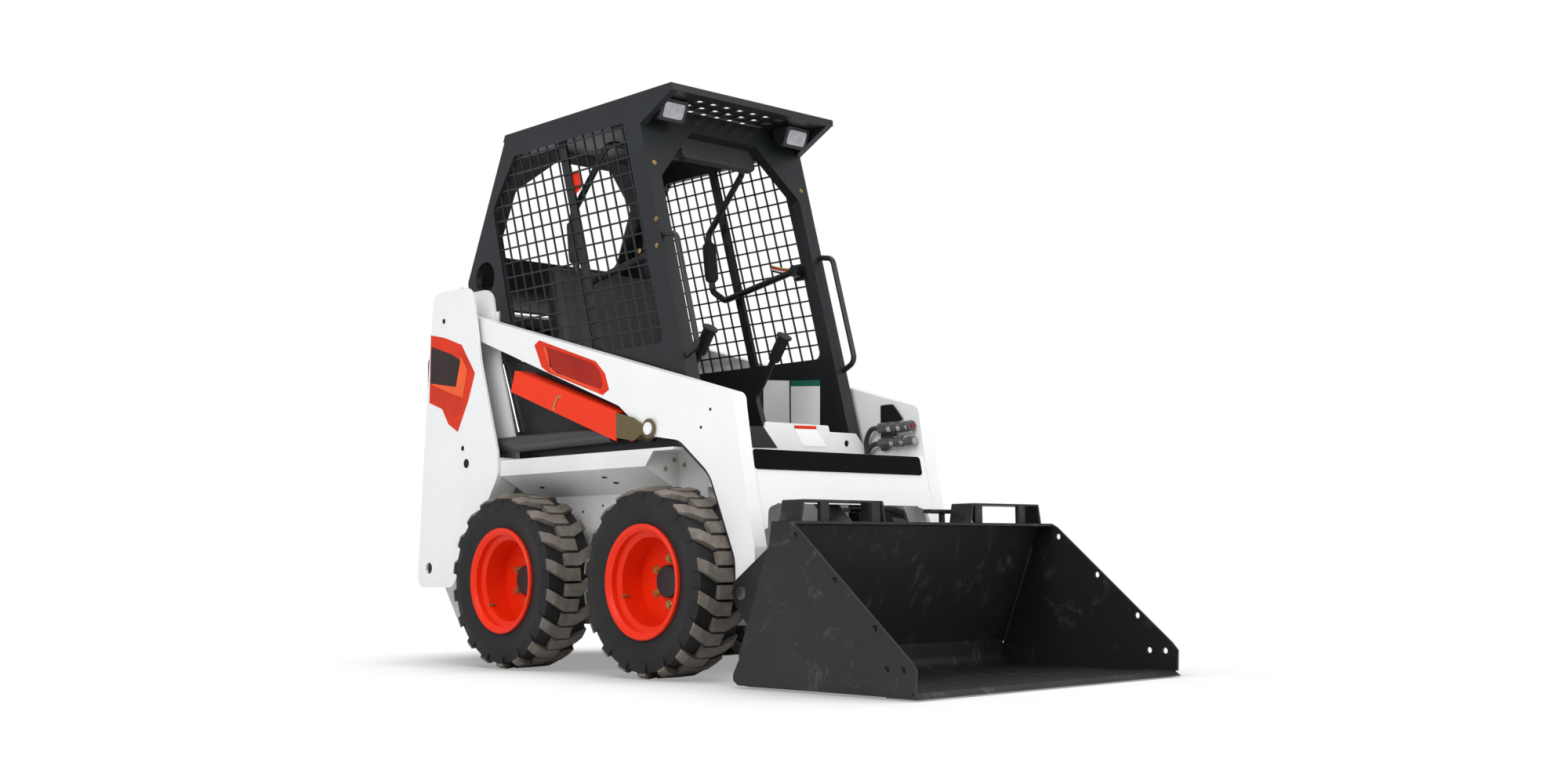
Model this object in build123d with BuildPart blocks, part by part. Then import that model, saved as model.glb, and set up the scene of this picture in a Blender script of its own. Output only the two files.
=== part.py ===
"""Small skid steer loader: wheels, arms, bucket, open cab and rear doors, each piece its own solid."""
import os
from math import atan2, cos, degrees, hypot, radians, sin

from build123d import *

os.makedirs("parts", exist_ok=True)

# Overall sizes. The origin is on the ground, half-way along the machine, +X to the bucket and +Y to the
# left of someone in the cab.
rear_overhang = 738
wheelbase = 722
front_reach = 1107
roof_height = 1814
track = 875
bucket_width = 1118

# Gaps between pieces that stand against each other, and round a pin in its hole
seat_gap = 0.3
pin_play = 0.1

# Side views are drawn about the middle of the wheelbase.
mid_x = (rear_overhang - front_reach) / 2
rear_x = -wheelbase / 2 - rear_overhang
lip_x = wheelbase / 2 + front_reach

# Wheels
tyre_radius = 281
tyre_width = 185
lug_height = 19
lugs_per_side = 18
rim_radius = 169
bead_radius = 152
disc_y = 22
disc_wall = 9
hub_radius = 48
hub_reach = 14
flange_radius = 92
flange_wall = 14

# Widths across the machine follow the track.
hull_half = (track - tyre_width) / 2 - 45
body_half = hull_half + 50
tower_inner = body_half + 2
tower_outer = tower_inner + 88
tower_wall = 8
arm_outer = tower_outer - tower_wall - 16
arm_wall = 48
arm_inner = arm_outer - arm_wall
cylinder_y = arm_outer - arm_wall / 2
fender_half = tower_outer - 10

# Arms
lift_pivot = (-850, 1178)
bucket_pin = (695, 250)
pin_radius = 19

# Lift cylinders
lift_base = (-715, 728)
lift_eye = (272, 738)
barrel_radius = 27
rod_radius = 16
eye_radius = 27
eye_width = 34
barrel_head = 210

# Tilt cylinder
tilt_base = (470, 640)
tilt_eye = (751, 356)
tilt_barrel_radius = 32
tilt_bore_radius = 27
tilt_rod_radius = 17
tilt_eye_radius = 28
tilt_eye_width = 66
cheek_gap = 5
cheek_wall = 10

# Bucket and the frame that carries it
bucket_wall = 8
bucket_floor = 6
edge_depth = 104
edge_wall = 14
ear_wall = 12
ear_gap = 6
hook_plate_half = arm_outer + 24
flag_gap = 5
flag_wall = 12
flag_reach = 68
step_inner = 190
step_outer = bucket_width / 2 - 59

# Chassis
hull_wall = 8
hull_rear = -1048.7
hull_front = 400
belly = 140
deck_z = 677
fender_z = 625
fender_wall = 8
fender_start = -504
fender_end = 263
step_half = body_half + 6

# Cab: heights above the waist stretch with the roof.
panel_wall = 24
sheet_wall = 6
roof_wall = 24
inner_half = body_half - panel_wall
sill_z = deck_z + seat_gap
waist_z = 1321
drawn_rise = 469
roof_under = roof_height - roof_wall
front_foot = (425.5, sill_z)
front_top = (116, roof_under)
doorway_half = 300
flange_depth = 35
bar_pivot = (160, 1310)
bar_half = 298
bar_radius = 11


def side(y):
    """Drawing plane of a side view at one Y, looked at from the right."""
    return Plane(origin=(mid_x, y, 0), x_dir=(1, 0, 0), z_dir=(0, -1, 0))


def cross(x):
    """Drawing plane across the machine at one X, looked at from the front."""
    return Plane(origin=(mid_x + x, 0, 0), x_dir=(0, 1, 0), z_dir=(1, 0, 0))


def level(z):
    """Drawing plane in plan at one height."""
    return Plane(origin=(mid_x, 0, z), x_dir=(1, 0, 0), z_dir=(0, 0, 1))


def finish(piece, name):
    """Name a piece and write it."""
    piece.label = name
    export_step(piece, f"parts/{name}.step")


def beam(start, end):
    """Length and direction, in degrees, from one side-view point to another."""
    run, rise = end[0] - start[0], end[1] - start[1]
    return hypot(run, rise), degrees(atan2(rise, run))


def high(z):
    """Height of a feature above the cab's waist."""
    return waist_z + (z - waist_z) * (roof_under - waist_z) / drawn_rise


def front_x(z):
    """Where the cab's leaning front stands at one height."""
    share = (z - front_foot[1]) / (front_top[1] - front_foot[1])
    return front_foot[0] + share * (front_top[0] - front_foot[0])


def leaning(foot, top, y=0):
    """Drawing plane across the machine that leans from foot to top: u to the left, v up the slope."""
    angle = radians(beam(foot, top)[1])
    return Plane(origin=(mid_x + foot[0], y, foot[1]), x_dir=(0, 1, 0), z_dir=(sin(angle), 0, -cos(angle)))


def slab(plane, corners, depth, both=False):
    """A plate cut to an outline: each corner is (u, v) or (u, v, radius)."""
    radii = [corner[2] if len(corner) == 3 else 0 for corner in corners]
    points = [corner[:2] for corner in corners]
    with BuildPart() as plate:
        with BuildSketch(plane):
            with BuildLine():
                if any(radii):
                    FilletPolyline(points, radius=radii, close=True)
                else:
                    Polyline(points, close=True)
            make_face()
        extrude(amount=depth, both=both)
    return plate.part


def both_ends(corners):
    """An outline that is the same on both sides of the middle, from its left half."""
    return corners + [(-corner[0],) + tuple(corner[1:]) for corner in reversed(corners)]


def wheel_node(piece, name):
    """Place a wheel's piece, drawn for the left side at the origin, at all four wheels."""
    for wheel_name, wheel_x in (("front", wheelbase / 2), ("rear", -wheelbase / 2)):
        with BuildPart() as left:
            with Locations((mid_x + wheel_x, track / 2, tyre_radius)):
                add(piece)
        finish(left.part, f"{name}_{wheel_name}_left")
        with BuildPart() as right:
            add(left.part)
            mirror(about=Plane.XZ, mode=Mode.REPLACE)
        finish(right.part, f"{name}_{wheel_name}_right")


# Wheels: the tyre's lugs lean from the middle of the tread to its shoulders, in two rows half a pitch apart.
turned = Plane(origin=(0, 0, 0), x_dir=(0, 1, 0), z_dir=(0, 0, -1))
tread_radius = tyre_radius - lug_height
tyre_half = tyre_width / 2
sidewall_radius = 230
bead_y = tyre_half - 12
lug = [(-32, -26), (8, -26), (8, 26), (40, tyre_half - 1), (4, tyre_half - 1), (-32, 26)]
lug_top = (tyre_radius ** 2 - lug[0][0] ** 2) ** 0.5
lug_angle = 360 / lugs_per_side
first_lug = degrees(atan2(-lug[0][0], lug_top))
with BuildPart() as tyre:
    with BuildSketch(turned):
        with BuildLine():
            Polyline(both_ends([
                (bead_y - 1, bead_radius + pin_play), (bead_y - 1, rim_radius + 1), (tyre_half, sidewall_radius),
                (tyre_half - 9, tread_radius),
            ]), close=True)
        make_face()
    revolve(axis=Axis.Y)
    for edge in (-1, 1):
        turns = [radians(first_lug + lug_angle * (count + (edge + 1) / 4)) for count in range(lugs_per_side)]
        tops = [
            Plane(origin=(lug_top * cos(turn), 0, lug_top * sin(turn)), x_dir=(-sin(turn), 0, cos(turn)),
                  z_dir=(cos(turn), 0, sin(turn)))
            for turn in turns
        ]
        with BuildSketch(*tops):
            with BuildLine():
                Polyline([(u, edge * v) for u, v in lug], close=True)
            make_face()
        extrude(amount=sidewall_radius - lug_top)
    for edge in (-1, 1):
        with BuildSketch(turned):
            with BuildLine():
                Polyline(
                    (edge * 62, tyre_radius + 0.5), (edge * (tyre_half + 1), tyre_radius - 12),
                    (edge * (tyre_half + 1), tyre_radius + 9), (edge * 62, tyre_radius + 9), close=True,
                )
            make_face()
        revolve(axis=Axis.Y, mode=Mode.SUBTRACT)
wheel_node(tyre.part, "tyre")

well_radius = bead_radius - 16
rim_wall = 5
flange_y = bead_y + 8
with BuildPart() as rim:
    with BuildSketch(turned):
        with BuildLine():
            Polyline(both_ends([
                (52, well_radius), (60, bead_radius), (bead_y, bead_radius), (bead_y, rim_radius),
                (flange_y, rim_radius), (flange_y + 3, rim_radius - 3), (flange_y + 1, rim_radius - 11),
                (bead_y, bead_radius - rim_wall), (62, bead_radius - rim_wall), (54, well_radius - rim_wall),
            ]), close=True)
        make_face()
    revolve(axis=Axis.Y)
    with BuildSketch(Plane.XZ.offset(disc_y + disc_wall)):
        Circle(well_radius - rim_wall / 2)
        Circle(hub_radius + pin_play, mode=Mode.SUBTRACT)
    extrude(amount=-disc_wall)
wheel_node(rim.part, "wheel")

with BuildPart() as hub:
    with BuildSketch(Plane.XZ.offset(disc_y + disc_wall + seat_gap)):
        Circle(flange_radius)
    extrude(amount=flange_wall)
    with BuildSketch(Plane.XZ.offset(disc_y + disc_wall + 2)):
        Circle(hub_radius)
    extrude(amount=-(disc_wall + hub_reach + 2))
    fillet(hub.edges().sort_by(Axis.Y)[-1], radius=5)
wheel_node(hub.part, "hub")

# Axle tubes stop short of the hub flanges.
hub_y = track / 2 - disc_y - disc_wall - seat_gap - flange_wall
with BuildPart() as axles:
    for axle_x in (-wheelbase / 2, wheelbase / 2):
        for sign in (-1, 1):
            start = Plane(
                origin=(mid_x + axle_x, sign * hull_half, tyre_radius), x_dir=(1, 0, 0), z_dir=(0, sign, 0)
            )
            with BuildSketch(start):
                Circle(62)
            extrude(amount=hub_y - hull_half - seat_gap)
finish(axles.part, "axle_tubes")

# Chassis: an open tub with the fenders along its top.
hull_outline = [
    (hull_rear, 260), (-960, belly), (330, belly, 30), (hull_front, 220), (hull_front, deck_z), (hull_rear, deck_z),
]
with BuildPart() as chassis:
    add(slab(side(-hull_half), hull_outline, -2 * hull_half))
    with BuildSketch(side(-hull_half + hull_wall)):
        with BuildLine():
            Polyline([corner[:2] for corner in hull_outline], close=True)
        make_face()
        offset(amount=-hull_wall, mode=Mode.INTERSECT)
    extrude(amount=-2 * (hull_half - hull_wall), mode=Mode.SUBTRACT)
    with BuildSketch(level(deck_z)):
        with Locations(((hull_rear + hull_front) / 2, 0)):
            Rectangle(hull_front - hull_rear - 2 * hull_wall, 2 * (hull_half - hull_wall))
    extrude(amount=-2 * hull_wall, mode=Mode.SUBTRACT)
    with BuildSketch(cross(hull_rear)):
        with Locations((0, 480)):
            Rectangle(2 * (hull_half - hull_wall), 380)
    extrude(amount=2 * hull_wall, mode=Mode.SUBTRACT)
    for sign in (-1, 1):
        edge = [(fender_start, deck_z), (fender_start, fender_z), (fender_end, fender_z), (300, deck_z - fender_wall),
                (396, deck_z - fender_wall), (396, deck_z)]
        add(slab(side(sign * (fender_half - fender_wall / 2)), edge, fender_wall / 2, both=True))
        add(slab(cross(fender_start), [
            (sign * (hull_half - 1), deck_z), (sign * fender_half, deck_z),
            (sign * fender_half, deck_z - fender_wall), (sign * (hull_half - 1), deck_z - fender_wall),
        ], 900))
        add(slab(cross(390), [
            (sign * (hull_half - 1), deck_z), (sign * step_half, deck_z),
            (sign * step_half, deck_z - fender_wall), (sign * (hull_half - 1), deck_z - fender_wall),
        ], 63))
        add(slab(cross(fender_start), [
            (sign * (hull_half - 1), 560), (sign * (hull_half - 1), 552), (sign * fender_half, fender_z),
            (sign * (fender_half - fender_wall), fender_z + 5),
        ], fender_end - fender_start))
        add(slab(cross(fender_end - fender_wall), [
            (sign * (hull_half - 1), 552), (sign * fender_half, fender_z), (sign * fender_half, deck_z),
            (sign * (hull_half - 1), deck_z),
        ], fender_wall))
finish(chassis.part, "chassis")

# Towers carry the arms' rear pivots and the feet of the lift cylinders: an outer plate with its folded edge,
# and an inner plate with the pins.
tower_outline = [
    (-998, 254, 35), (-774, 255, 40), (-508, 620, 70), (-506, 700, 60), (-614, 1020, 300), (-668, 1282, 60),
    (-910, 1284, 40), (-931, 1132), (-969, 663),
]
tower_hole = (-925, 320)
tower_open = [(-900, 1400), (-900, 1100), (-925, 700), (-400, 683), (-400, 1400)]
for tower_name, sign in (("right", -1), ("left", 1)):
    with BuildPart() as tower:
        add(slab(side(-tower_outer), tower_outline, -(tower_outer - tower_inner - tower_wall - seat_gap)))
        with BuildSketch(side(-tower_outer + tower_wall)):
            with BuildLine():
                FilletPolyline(
                    [corner[:2] for corner in tower_outline],
                    radius=[corner[2] if len(corner) == 3 else 0 for corner in tower_outline], close=True,
                )
            make_face()
            offset(amount=-tower_wall, mode=Mode.REPLACE)
        extrude(amount=-(tower_outer - tower_inner), mode=Mode.SUBTRACT)
        add(slab(side(-tower_outer + tower_wall), tower_open, -(tower_outer - tower_inner)), mode=Mode.SUBTRACT)
        with BuildSketch(side(-tower_outer)):
            with Locations(tower_hole):
                Circle(20)
        extrude(amount=-tower_wall, mode=Mode.SUBTRACT)
        if sign == 1:
            mirror(about=Plane.XZ, mode=Mode.REPLACE)
    finish(tower.part, f"tower_{tower_name}")
    with BuildPart() as plate:
        add(slab(side(-tower_inner), tower_outline, tower_wall))
        with BuildSketch(side(-tower_inner)):
            with Locations(tower_hole):
                Circle(20)
        extrude(amount=tower_wall, mode=Mode.SUBTRACT)
        with BuildSketch(side(-tower_inner - tower_wall / 2)):
            with Locations(lift_pivot, lift_base):
                Circle(pin_radius)
        extrude(amount=tower_outer - tower_inner - tower_wall * 1.5 - seat_gap)
        with BuildSketch(cross(-960)):
            with Locations((-(tower_inner + hull_half) / 2, 460)):
                Rectangle(tower_inner - hull_half, 380)
        extrude(amount=300)
        if sign == 1:
            mirror(about=Plane.XZ, mode=Mode.REPLACE)
    finish(plate.part, f"tower_plate_{tower_name}")

# Lift arms: two box arms with their front legs, joined by the cross box at the front.
arm_outline = [
    (-912, 1242, 54), (648, 820, 30), (652, 780), (683, 600), (715, 457), (732, 379), (737, 208, 41),
    (653, 208, 41), (651, 345, 100), (540, 594, 120), (406, 696, 80), (257, 718, 20), (115, 818, 20),
    (-673, 1100, 100), (-912, 1116, 54),
]
leg_plane = leaning((715, 457), (683, 600))
with BuildPart() as arms:
    add(slab(side(-arm_outer), arm_outline, -arm_wall))
    add(slab(side(6 - arm_outer), [(120, 680), (325, 680), (325, 785), (120, 785)], 12 - arm_wall),
        mode=Mode.SUBTRACT)
    with BuildSketch(side(-arm_outer)):
        with Locations(lift_pivot, bucket_pin):
            Circle(pin_radius + pin_play)
    extrude(amount=-arm_wall, mode=Mode.SUBTRACT)
    for stub_y, reach in ((arm_outer, 14), (arm_inner, -14)):
        with BuildSketch(side(-stub_y)):
            with Locations(lift_eye):
                Circle(pin_radius)
        extrude(amount=reach)
    mirror(about=Plane.XZ)
    cross_box = [(620, 660), (666, 660), (680, 590), (701, 504), (656, 504, 20), (620, 548, 20)]
    add(slab(side(arm_inner), cross_box, 2 * arm_inner))
    for sign in (-1, 1):
        gusset = [(300, 46), (300, 53), (arm_inner, 53), (arm_inner, -30), (350, -24), (336, 36, 30)]
        add(slab(leg_plane.offset(-3), [(sign * corner[0],) + tuple(corner[1:]) for corner in gusset], -12))
finish(arms.part, "lift_arms")

# Hydraulic couplers on their bracket, on the inner side of the left arm
coupler_y = arm_inner - 13
with BuildPart() as couplers:
    add(slab(side(coupler_y), [
        (495, 687, 6), (520, 687, 6), (558, 720, 6), (558, 770, 10), (587, 770, 6), (587, 790, 6),
        (548, 835, 8), (495, 835, 6),
    ], -5))
    for rib_z in (700, 800):
        with BuildSketch(side(arm_inner - 10)):
            with Locations((505, rib_z)):
                Rectangle(12, 14)
        extrude(amount=-(10 - seat_gap))
    for nose, height, radius in ((640, 760, 17), (648, 712, 14)):
        with BuildSketch(cross(500)):
            with Locations((coupler_y - 8, height)):
                Circle(radius)
        extrude(amount=nose - 500)
finish(couplers.part, "coupler_bracket")

# Lift cylinders
length, angle = beam(lift_base, lift_eye)
for cyl_name, sign in (("right", -1), ("left", 1)):
    lift_plane = Plane(
        origin=(mid_x + lift_base[0], sign * cylinder_y, lift_base[1]),
        x_dir=(0, 1, 0), z_dir=(cos(radians(angle)), 0, sin(radians(angle))),
    )
    with BuildPart() as barrel:
        with BuildSketch(lift_plane.offset(eye_radius)):
            Circle(barrel_radius)
            Circle(rod_radius + pin_play, mode=Mode.SUBTRACT)
        extrude(amount=length - barrel_head - eye_radius)
        with BuildSketch(lift_plane.offset(eye_radius - 3)):
            Circle(barrel_radius)
        extrude(amount=16)
        with BuildSketch(side(sign * cylinder_y)):
            with Locations(lift_base):
                Circle(eye_radius)
        extrude(amount=eye_width / 2, both=True)
        with BuildSketch(side(sign * cylinder_y)):
            with Locations(lift_base):
                Circle(pin_radius + pin_play)
        extrude(amount=eye_width, both=True, mode=Mode.SUBTRACT)
    finish(barrel.part, f"lift_barrel_{cyl_name}")
    with BuildPart() as rod:
        with BuildSketch(lift_plane.offset(60)):
            Circle(rod_radius)
        extrude(amount=length - 60)
        with BuildSketch(side(sign * cylinder_y)):
            with Locations(lift_eye):
                Circle(eye_radius)
        extrude(amount=eye_width / 2, both=True)
    finish(rod.part, f"lift_rod_{cyl_name}")

# Tilt cylinder, with its piston as a piece of its own
tilt_length, tilt_angle = beam(tilt_base, tilt_eye)
tilt_plane = Plane(
    origin=(mid_x + tilt_base[0], 0, tilt_base[1]),
    x_dir=(0, 1, 0), z_dir=(cos(radians(tilt_angle)), 0, sin(radians(tilt_angle))),
)
tilt_head = 75
bore_start = 44
with BuildPart() as tilt_barrel:
    with BuildSketch(tilt_plane.offset(bore_start - 8)):
        Circle(tilt_barrel_radius)
    extrude(amount=tilt_length - tilt_head - bore_start + 8)
    with BuildSketch(tilt_plane.offset(bore_start)):
        Circle(tilt_bore_radius)
    extrude(amount=tilt_length - tilt_head - bore_start - 16, mode=Mode.SUBTRACT)
    with BuildSketch(tilt_plane.offset(100)):
        Circle(tilt_rod_radius + pin_play)
    extrude(amount=tilt_length, mode=Mode.SUBTRACT)
    with BuildSketch(tilt_plane.offset(20)):
        Circle(tilt_eye_radius)
    extrude(amount=bore_start - 28)
    with BuildSketch(side(0)):
        with Locations(tilt_base):
            Circle(tilt_eye_radius)
    extrude(amount=tilt_eye_width / 2, both=True)
    with BuildSketch(side(0)):
        with Locations(tilt_base):
            Circle(pin_radius + pin_play)
    extrude(amount=tilt_eye_width, both=True, mode=Mode.SUBTRACT)
finish(tilt_barrel.part, "tilt_barrel")
with BuildPart() as tilt_piston:
    with BuildSketch(tilt_plane.offset(bore_start + 4)):
        Circle(tilt_bore_radius - pin_play)
    extrude(amount=14)
finish(tilt_piston.part, "tilt_piston")
with BuildPart() as tilt_rod:
    with BuildSketch(tilt_plane.offset(108)):
        Circle(tilt_rod_radius)
    extrude(amount=tilt_length - 108)
    with BuildSketch(side(0)):
        with Locations(tilt_eye):
            Circle(tilt_eye_radius)
    extrude(amount=tilt_eye_width / 2, both=True)
finish(tilt_rod.part, "tilt_rod")

# Bracket under the cross box for the tilt cylinder's foot
cheek_y = tilt_eye_width / 2 + cheek_gap + cheek_wall / 2
with BuildPart() as tilt_foot:
    for sign in (-1, 1):
        cheek = [(440, 612, 20), (620 - seat_gap, 575), (620 - seat_gap, 656), (440, 668, 20)]
        add(slab(side(sign * cheek_y), cheek, cheek_wall / 2, both=True))
    with BuildSketch(side(0)):
        with Locations(tilt_base):
            Circle(pin_radius)
    extrude(amount=cheek_y + cheek_wall / 2 + 6, both=True)
finish(tilt_foot.part, "tilt_foot")

# Bucket pins, each with a flag plate on its inner end
flag_y = arm_inner - ear_gap - ear_wall - flag_gap
pin_end = arm_outer + ear_gap + ear_wall + 2
flag = [
    (bucket_pin[0] - 24, bucket_pin[1] + 24, 20), (bucket_pin[0] + 24, bucket_pin[1] + 24, 20),
    (bucket_pin[0] + 18, bucket_pin[1] - flag_reach, 14), (bucket_pin[0] - 18, bucket_pin[1] - flag_reach, 14),
]
with BuildPart() as pins:
    for sign in (-1, 1):
        with BuildSketch(side(sign * pin_end)):
            with Locations(bucket_pin):
                Circle(pin_radius)
        extrude(amount=sign * (pin_end - flag_y))
        add(slab(side(sign * flag_y), flag, sign * flag_wall))
finish(pins.part, "bucket_pins")

# Frame that carries the bucket: plate, ears, lugs and the latch levers
with BuildPart() as frame:
    add(slab(side(-hook_plate_half), [(805.2, 98.6), (816.3, 94), (948.4, 412), (937.3, 416.6)],
             -2 * hook_plate_half))
    ear = [(808, 97), (940, 414, 10), (880, 424, 20), (670, 285, 30), (655, 250), (672, 215, 30), (770, 110, 40)]
    lug = [(886, 290), (936, 408), (740, 385, 15), (720, 340, 25), (745, 325, 10)]
    for sign in (-1, 1):
        for ear_y in (arm_inner - ear_gap - ear_wall / 2, arm_outer + ear_gap + ear_wall / 2):
            add(slab(side(sign * ear_y), ear, ear_wall / 2, both=True))
        add(slab(side(sign * (tilt_eye_width / 2 + cheek_gap + ear_wall / 2)), lug, ear_wall / 2, both=True))
        with BuildSketch(side(sign * 168)):
            with Locations((915, 480)):
                RectangleRounded(30, 12, 4)
        extrude(amount=66, both=True)
        with BuildSketch(level(405)):
            with Locations((915, sign * 168)):
                Circle(9)
        extrude(amount=75)
        add(slab(side(sign * 168), [(906, 396), (906, 416), (926, 416), (940, 396)], 16, both=True))
    with BuildSketch(side(-arm_outer - 40)):
        with Locations(bucket_pin):
            Circle(pin_radius + pin_play)
    extrude(amount=-2 * arm_outer - 80, mode=Mode.SUBTRACT)
finish(frame.part, "bucket_frame")

# Bucket
half_inside = bucket_width / 2 - bucket_wall
edge_back = lip_x - edge_depth
edge_top = bucket_floor + edge_wall - 2
with BuildPart() as bucket:
    add(slab(side(-half_inside), [
        (edge_back, bucket_floor), (812, bucket_floor, 40), (815, 90), (952, 420), (963, 445, 8), (1028, 445),
        (1028, 437), (969, 437, 4), (960, 415), (824, 90), (820, bucket_floor + 8, 34),
        (edge_back, bucket_floor + 8),
    ], -2 * half_inside))
    for sign in (-1, 1):
        add(slab(side(sign * (bucket_width / 2 - bucket_wall / 2)), [
            (956, 445), (1025, 443, 12), (1043, 433, 12), (lip_x - 25, 98, 12), (lip_x - 5, 76, 8),
            (lip_x - 8, edge_top), (edge_back, edge_top), (edge_back, bucket_floor), (819, bucket_floor + 2, 10),
            (800, 20, 6), (800, 37, 10), (838, 101), (943, 372),
        ], bucket_wall / 2, both=True))
        with BuildSketch(side(sign * half_inside)):
            with Locations((1047, 405), (1188, 290), (1328, 172), (1367, 73), (1421, 73)):
                Circle(9)
        extrude(amount=-sign * bucket_wall, mode=Mode.SUBTRACT)
        step = [
            (step_inner, 503, 6), (step_outer, 503, 6), (step_outer + 12, 441), (step_outer + 4, 441),
            (step_outer - 7, 497), (step_inner + 7, 497), (step_inner - 4, 441), (step_inner - 12, 441),
        ]
        add(slab(cross(935), [(sign * corner[0],) + tuple(corner[1:]) for corner in step], 80))
        for bar_y in (step_inner + 29, step_outer - 82):
            with BuildSketch(cross(1003)):
                with Locations((sign * bar_y, 470)):
                    Rectangle(32, 62)
            extrude(amount=12)
finish(bucket.part, "bucket")
with BuildPart() as edge:
    add(slab(side(-bucket_width / 2), [
        (edge_back, bucket_floor - 2), (lip_x, bucket_floor - 2), (lip_x - 20, edge_top), (edge_back, edge_top),
    ], -bucket_width))
finish(edge.part, "cutting_edge")

# Cab sides, each with its window, mullion and the bracket of the lap bar
cab_outline = [
    (-835, waist_z, 25), (front_top[0] - 730, roof_under), (front_top[0] + 175, roof_under),
    (front_x(high(1712)), high(1712)), front_foot, (-500, sill_z), (-632, 960, 60), (-632, 1206),
    (-800, 1206, 30),
]
window = [
    (52, high(1731), 20), (253, 1006, 20), (-533, 1006, 20), (-575, 1172), (-618, high(1327), 15),
    (-681, high(1561), 30), (-554, high(1731), 25),
]
mullion_half = 17
mullion_foot = (-81, 1003)
mullion_top = (-302, high(1741))
for cab_name, sign in (("right", -1), ("left", 1)):
    with BuildPart() as panel:
        add(slab(side(-inner_half), cab_outline, panel_wall))
        add(slab(side(-inner_half), window, panel_wall), mode=Mode.SUBTRACT)
        add(slab(side(-inner_half), [
            (mullion_foot[0] - mullion_half, mullion_foot[1]), (mullion_foot[0] + mullion_half, mullion_foot[1]),
            (mullion_top[0] + mullion_half, mullion_top[1]), (mullion_top[0] - mullion_half, mullion_top[1]),
        ], 13))
        add(slab(side(-inner_half), [(135, 1282), (135, 1338), (200, 1338), (200, 1282)], 10))
        with BuildSketch(side(-inner_half)):
            with Locations((-727, high(1325))):
                Circle(58)
        extrude(amount=panel_wall, mode=Mode.SUBTRACT)
        if sign == 1:
            mirror(about=Plane.XZ, mode=Mode.REPLACE)
    finish(panel.part, f"cab_side_{cab_name}")

# Wire mesh in the side windows: level wires and wires that lean with the mullion
wire = 5
pitch = 51
mesh_y = body_half - 7.5
mesh_bottom = window[1][1]
mesh_top = window[0][1]
lean = (mullion_foot[0] - mullion_top[0]) / (mullion_top[1] - mullion_foot[1])
shift = lean * (mesh_top - mesh_bottom)
rows = int((mesh_top - mesh_bottom) / pitch) + 1
with BuildPart() as mesh:
    with BuildSketch(side(-mesh_y)):
        with Locations(*[(-200, mesh_bottom + row * pitch) for row in range(1, rows)]):
            Rectangle(1100, wire)
        with Locations(*[(mullion_foot[0] + (column + 0.5) * pitch, 0) for column in range(-13, 12)]):
            Polygon(
                (-wire / 2, mesh_bottom), (wire / 2, mesh_bottom), (wire / 2 - shift, mesh_top),
                (-wire / 2 - shift, mesh_top), align=None,
            )
    extrude(amount=wire / 2, both=True)
    with BuildSketch(side(-mesh_y)):
        with BuildLine():
            FilletPolyline(
                [corner[:2] for corner in window],
                radius=[corner[2] if len(corner) == 3 else 0 for corner in window], close=True,
            )
        make_face()
        offset(amount=-seat_gap, mode=Mode.REPLACE)
    extrude(amount=wire, both=True, mode=Mode.INTERSECT)
finish(mesh.part, "side_mesh_right")
with BuildPart() as left_mesh:
    add(mesh.part)
    mirror(about=Plane.XZ, mode=Mode.REPLACE)
finish(left_mesh.part, "side_mesh_left")

# Front of the cab: a folded sheet between the sides, with the doorway and its flange
front_plane = leaning(front_foot, front_top)
front_rise = beam(front_foot, front_top)[0] / (front_top[1] - front_foot[1])
doorway_shoulder = (high(1545) - sill_z) * front_rise
doorway_top = (high(1718) - sill_z) * front_rise
with BuildPart() as cab_front:
    with BuildSketch(front_plane):
        with BuildLine():
            FilletPolyline(both_ends([
                (doorway_half, 18), (doorway_half, doorway_shoulder), (141, doorway_top),
            ]), radius=[0, 25, 25, 25, 25, 0], close=True)
        make_face()
        offset(amount=4, mode=Mode.REPLACE)
    extrude(amount=-flange_depth)
    add(slab(front_plane, both_ends([
        (inner_half - seat_gap, 4), (inner_half - seat_gap, (roof_under - sill_z) * front_rise),
    ]), -sheet_wall))
    add(slab(front_plane.offset(1), both_ends([
        (doorway_half, -10), (doorway_half, doorway_shoulder, 25), (141, doorway_top, 25),
    ]), -flange_depth - 2), mode=Mode.SUBTRACT)
finish(cab_front.part, "cab_front")

# Padded roll over the driver's forehead
with BuildPart() as pad:
    pad_plane = front_plane.offset(-flange_depth - seat_gap)
    add(slab(pad_plane, both_ends([
        (160, (high(1648) - sill_z) * front_rise, 15), (160, (high(1741) - sill_z) * front_rise, 15),
    ]), -36))
    fillet(pad.faces().sort_by(Axis.X)[0].edges(), radius=12)
finish(pad.part, "head_pad")

# Cab back and its window
back_foot = (-835, waist_z)
back_top = (front_top[0] - 730, roof_under)
back_plane = leaning(back_foot, back_top)
back_rise = beam(back_foot, back_top)[0] / (roof_under - waist_z)
with BuildPart() as back:
    add(slab(side(-inner_half + seat_gap), [
        back_foot, back_top, (back_top[0] + 9, roof_under), (-825, waist_z + 2), (-694, 1220), (-700, 1213),
    ], -2 * (inner_half - seat_gap)))
    add(slab(back_plane, both_ends([
        (265, (high(1422) - waist_z) * back_rise, 45), (258, (high(1645) - waist_z) * back_rise, 30),
        (120, (high(1761) - waist_z) * back_rise, 30),
    ]), 30, both=True), mode=Mode.SUBTRACT)
finish(back.part, "cab_back")

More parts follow.
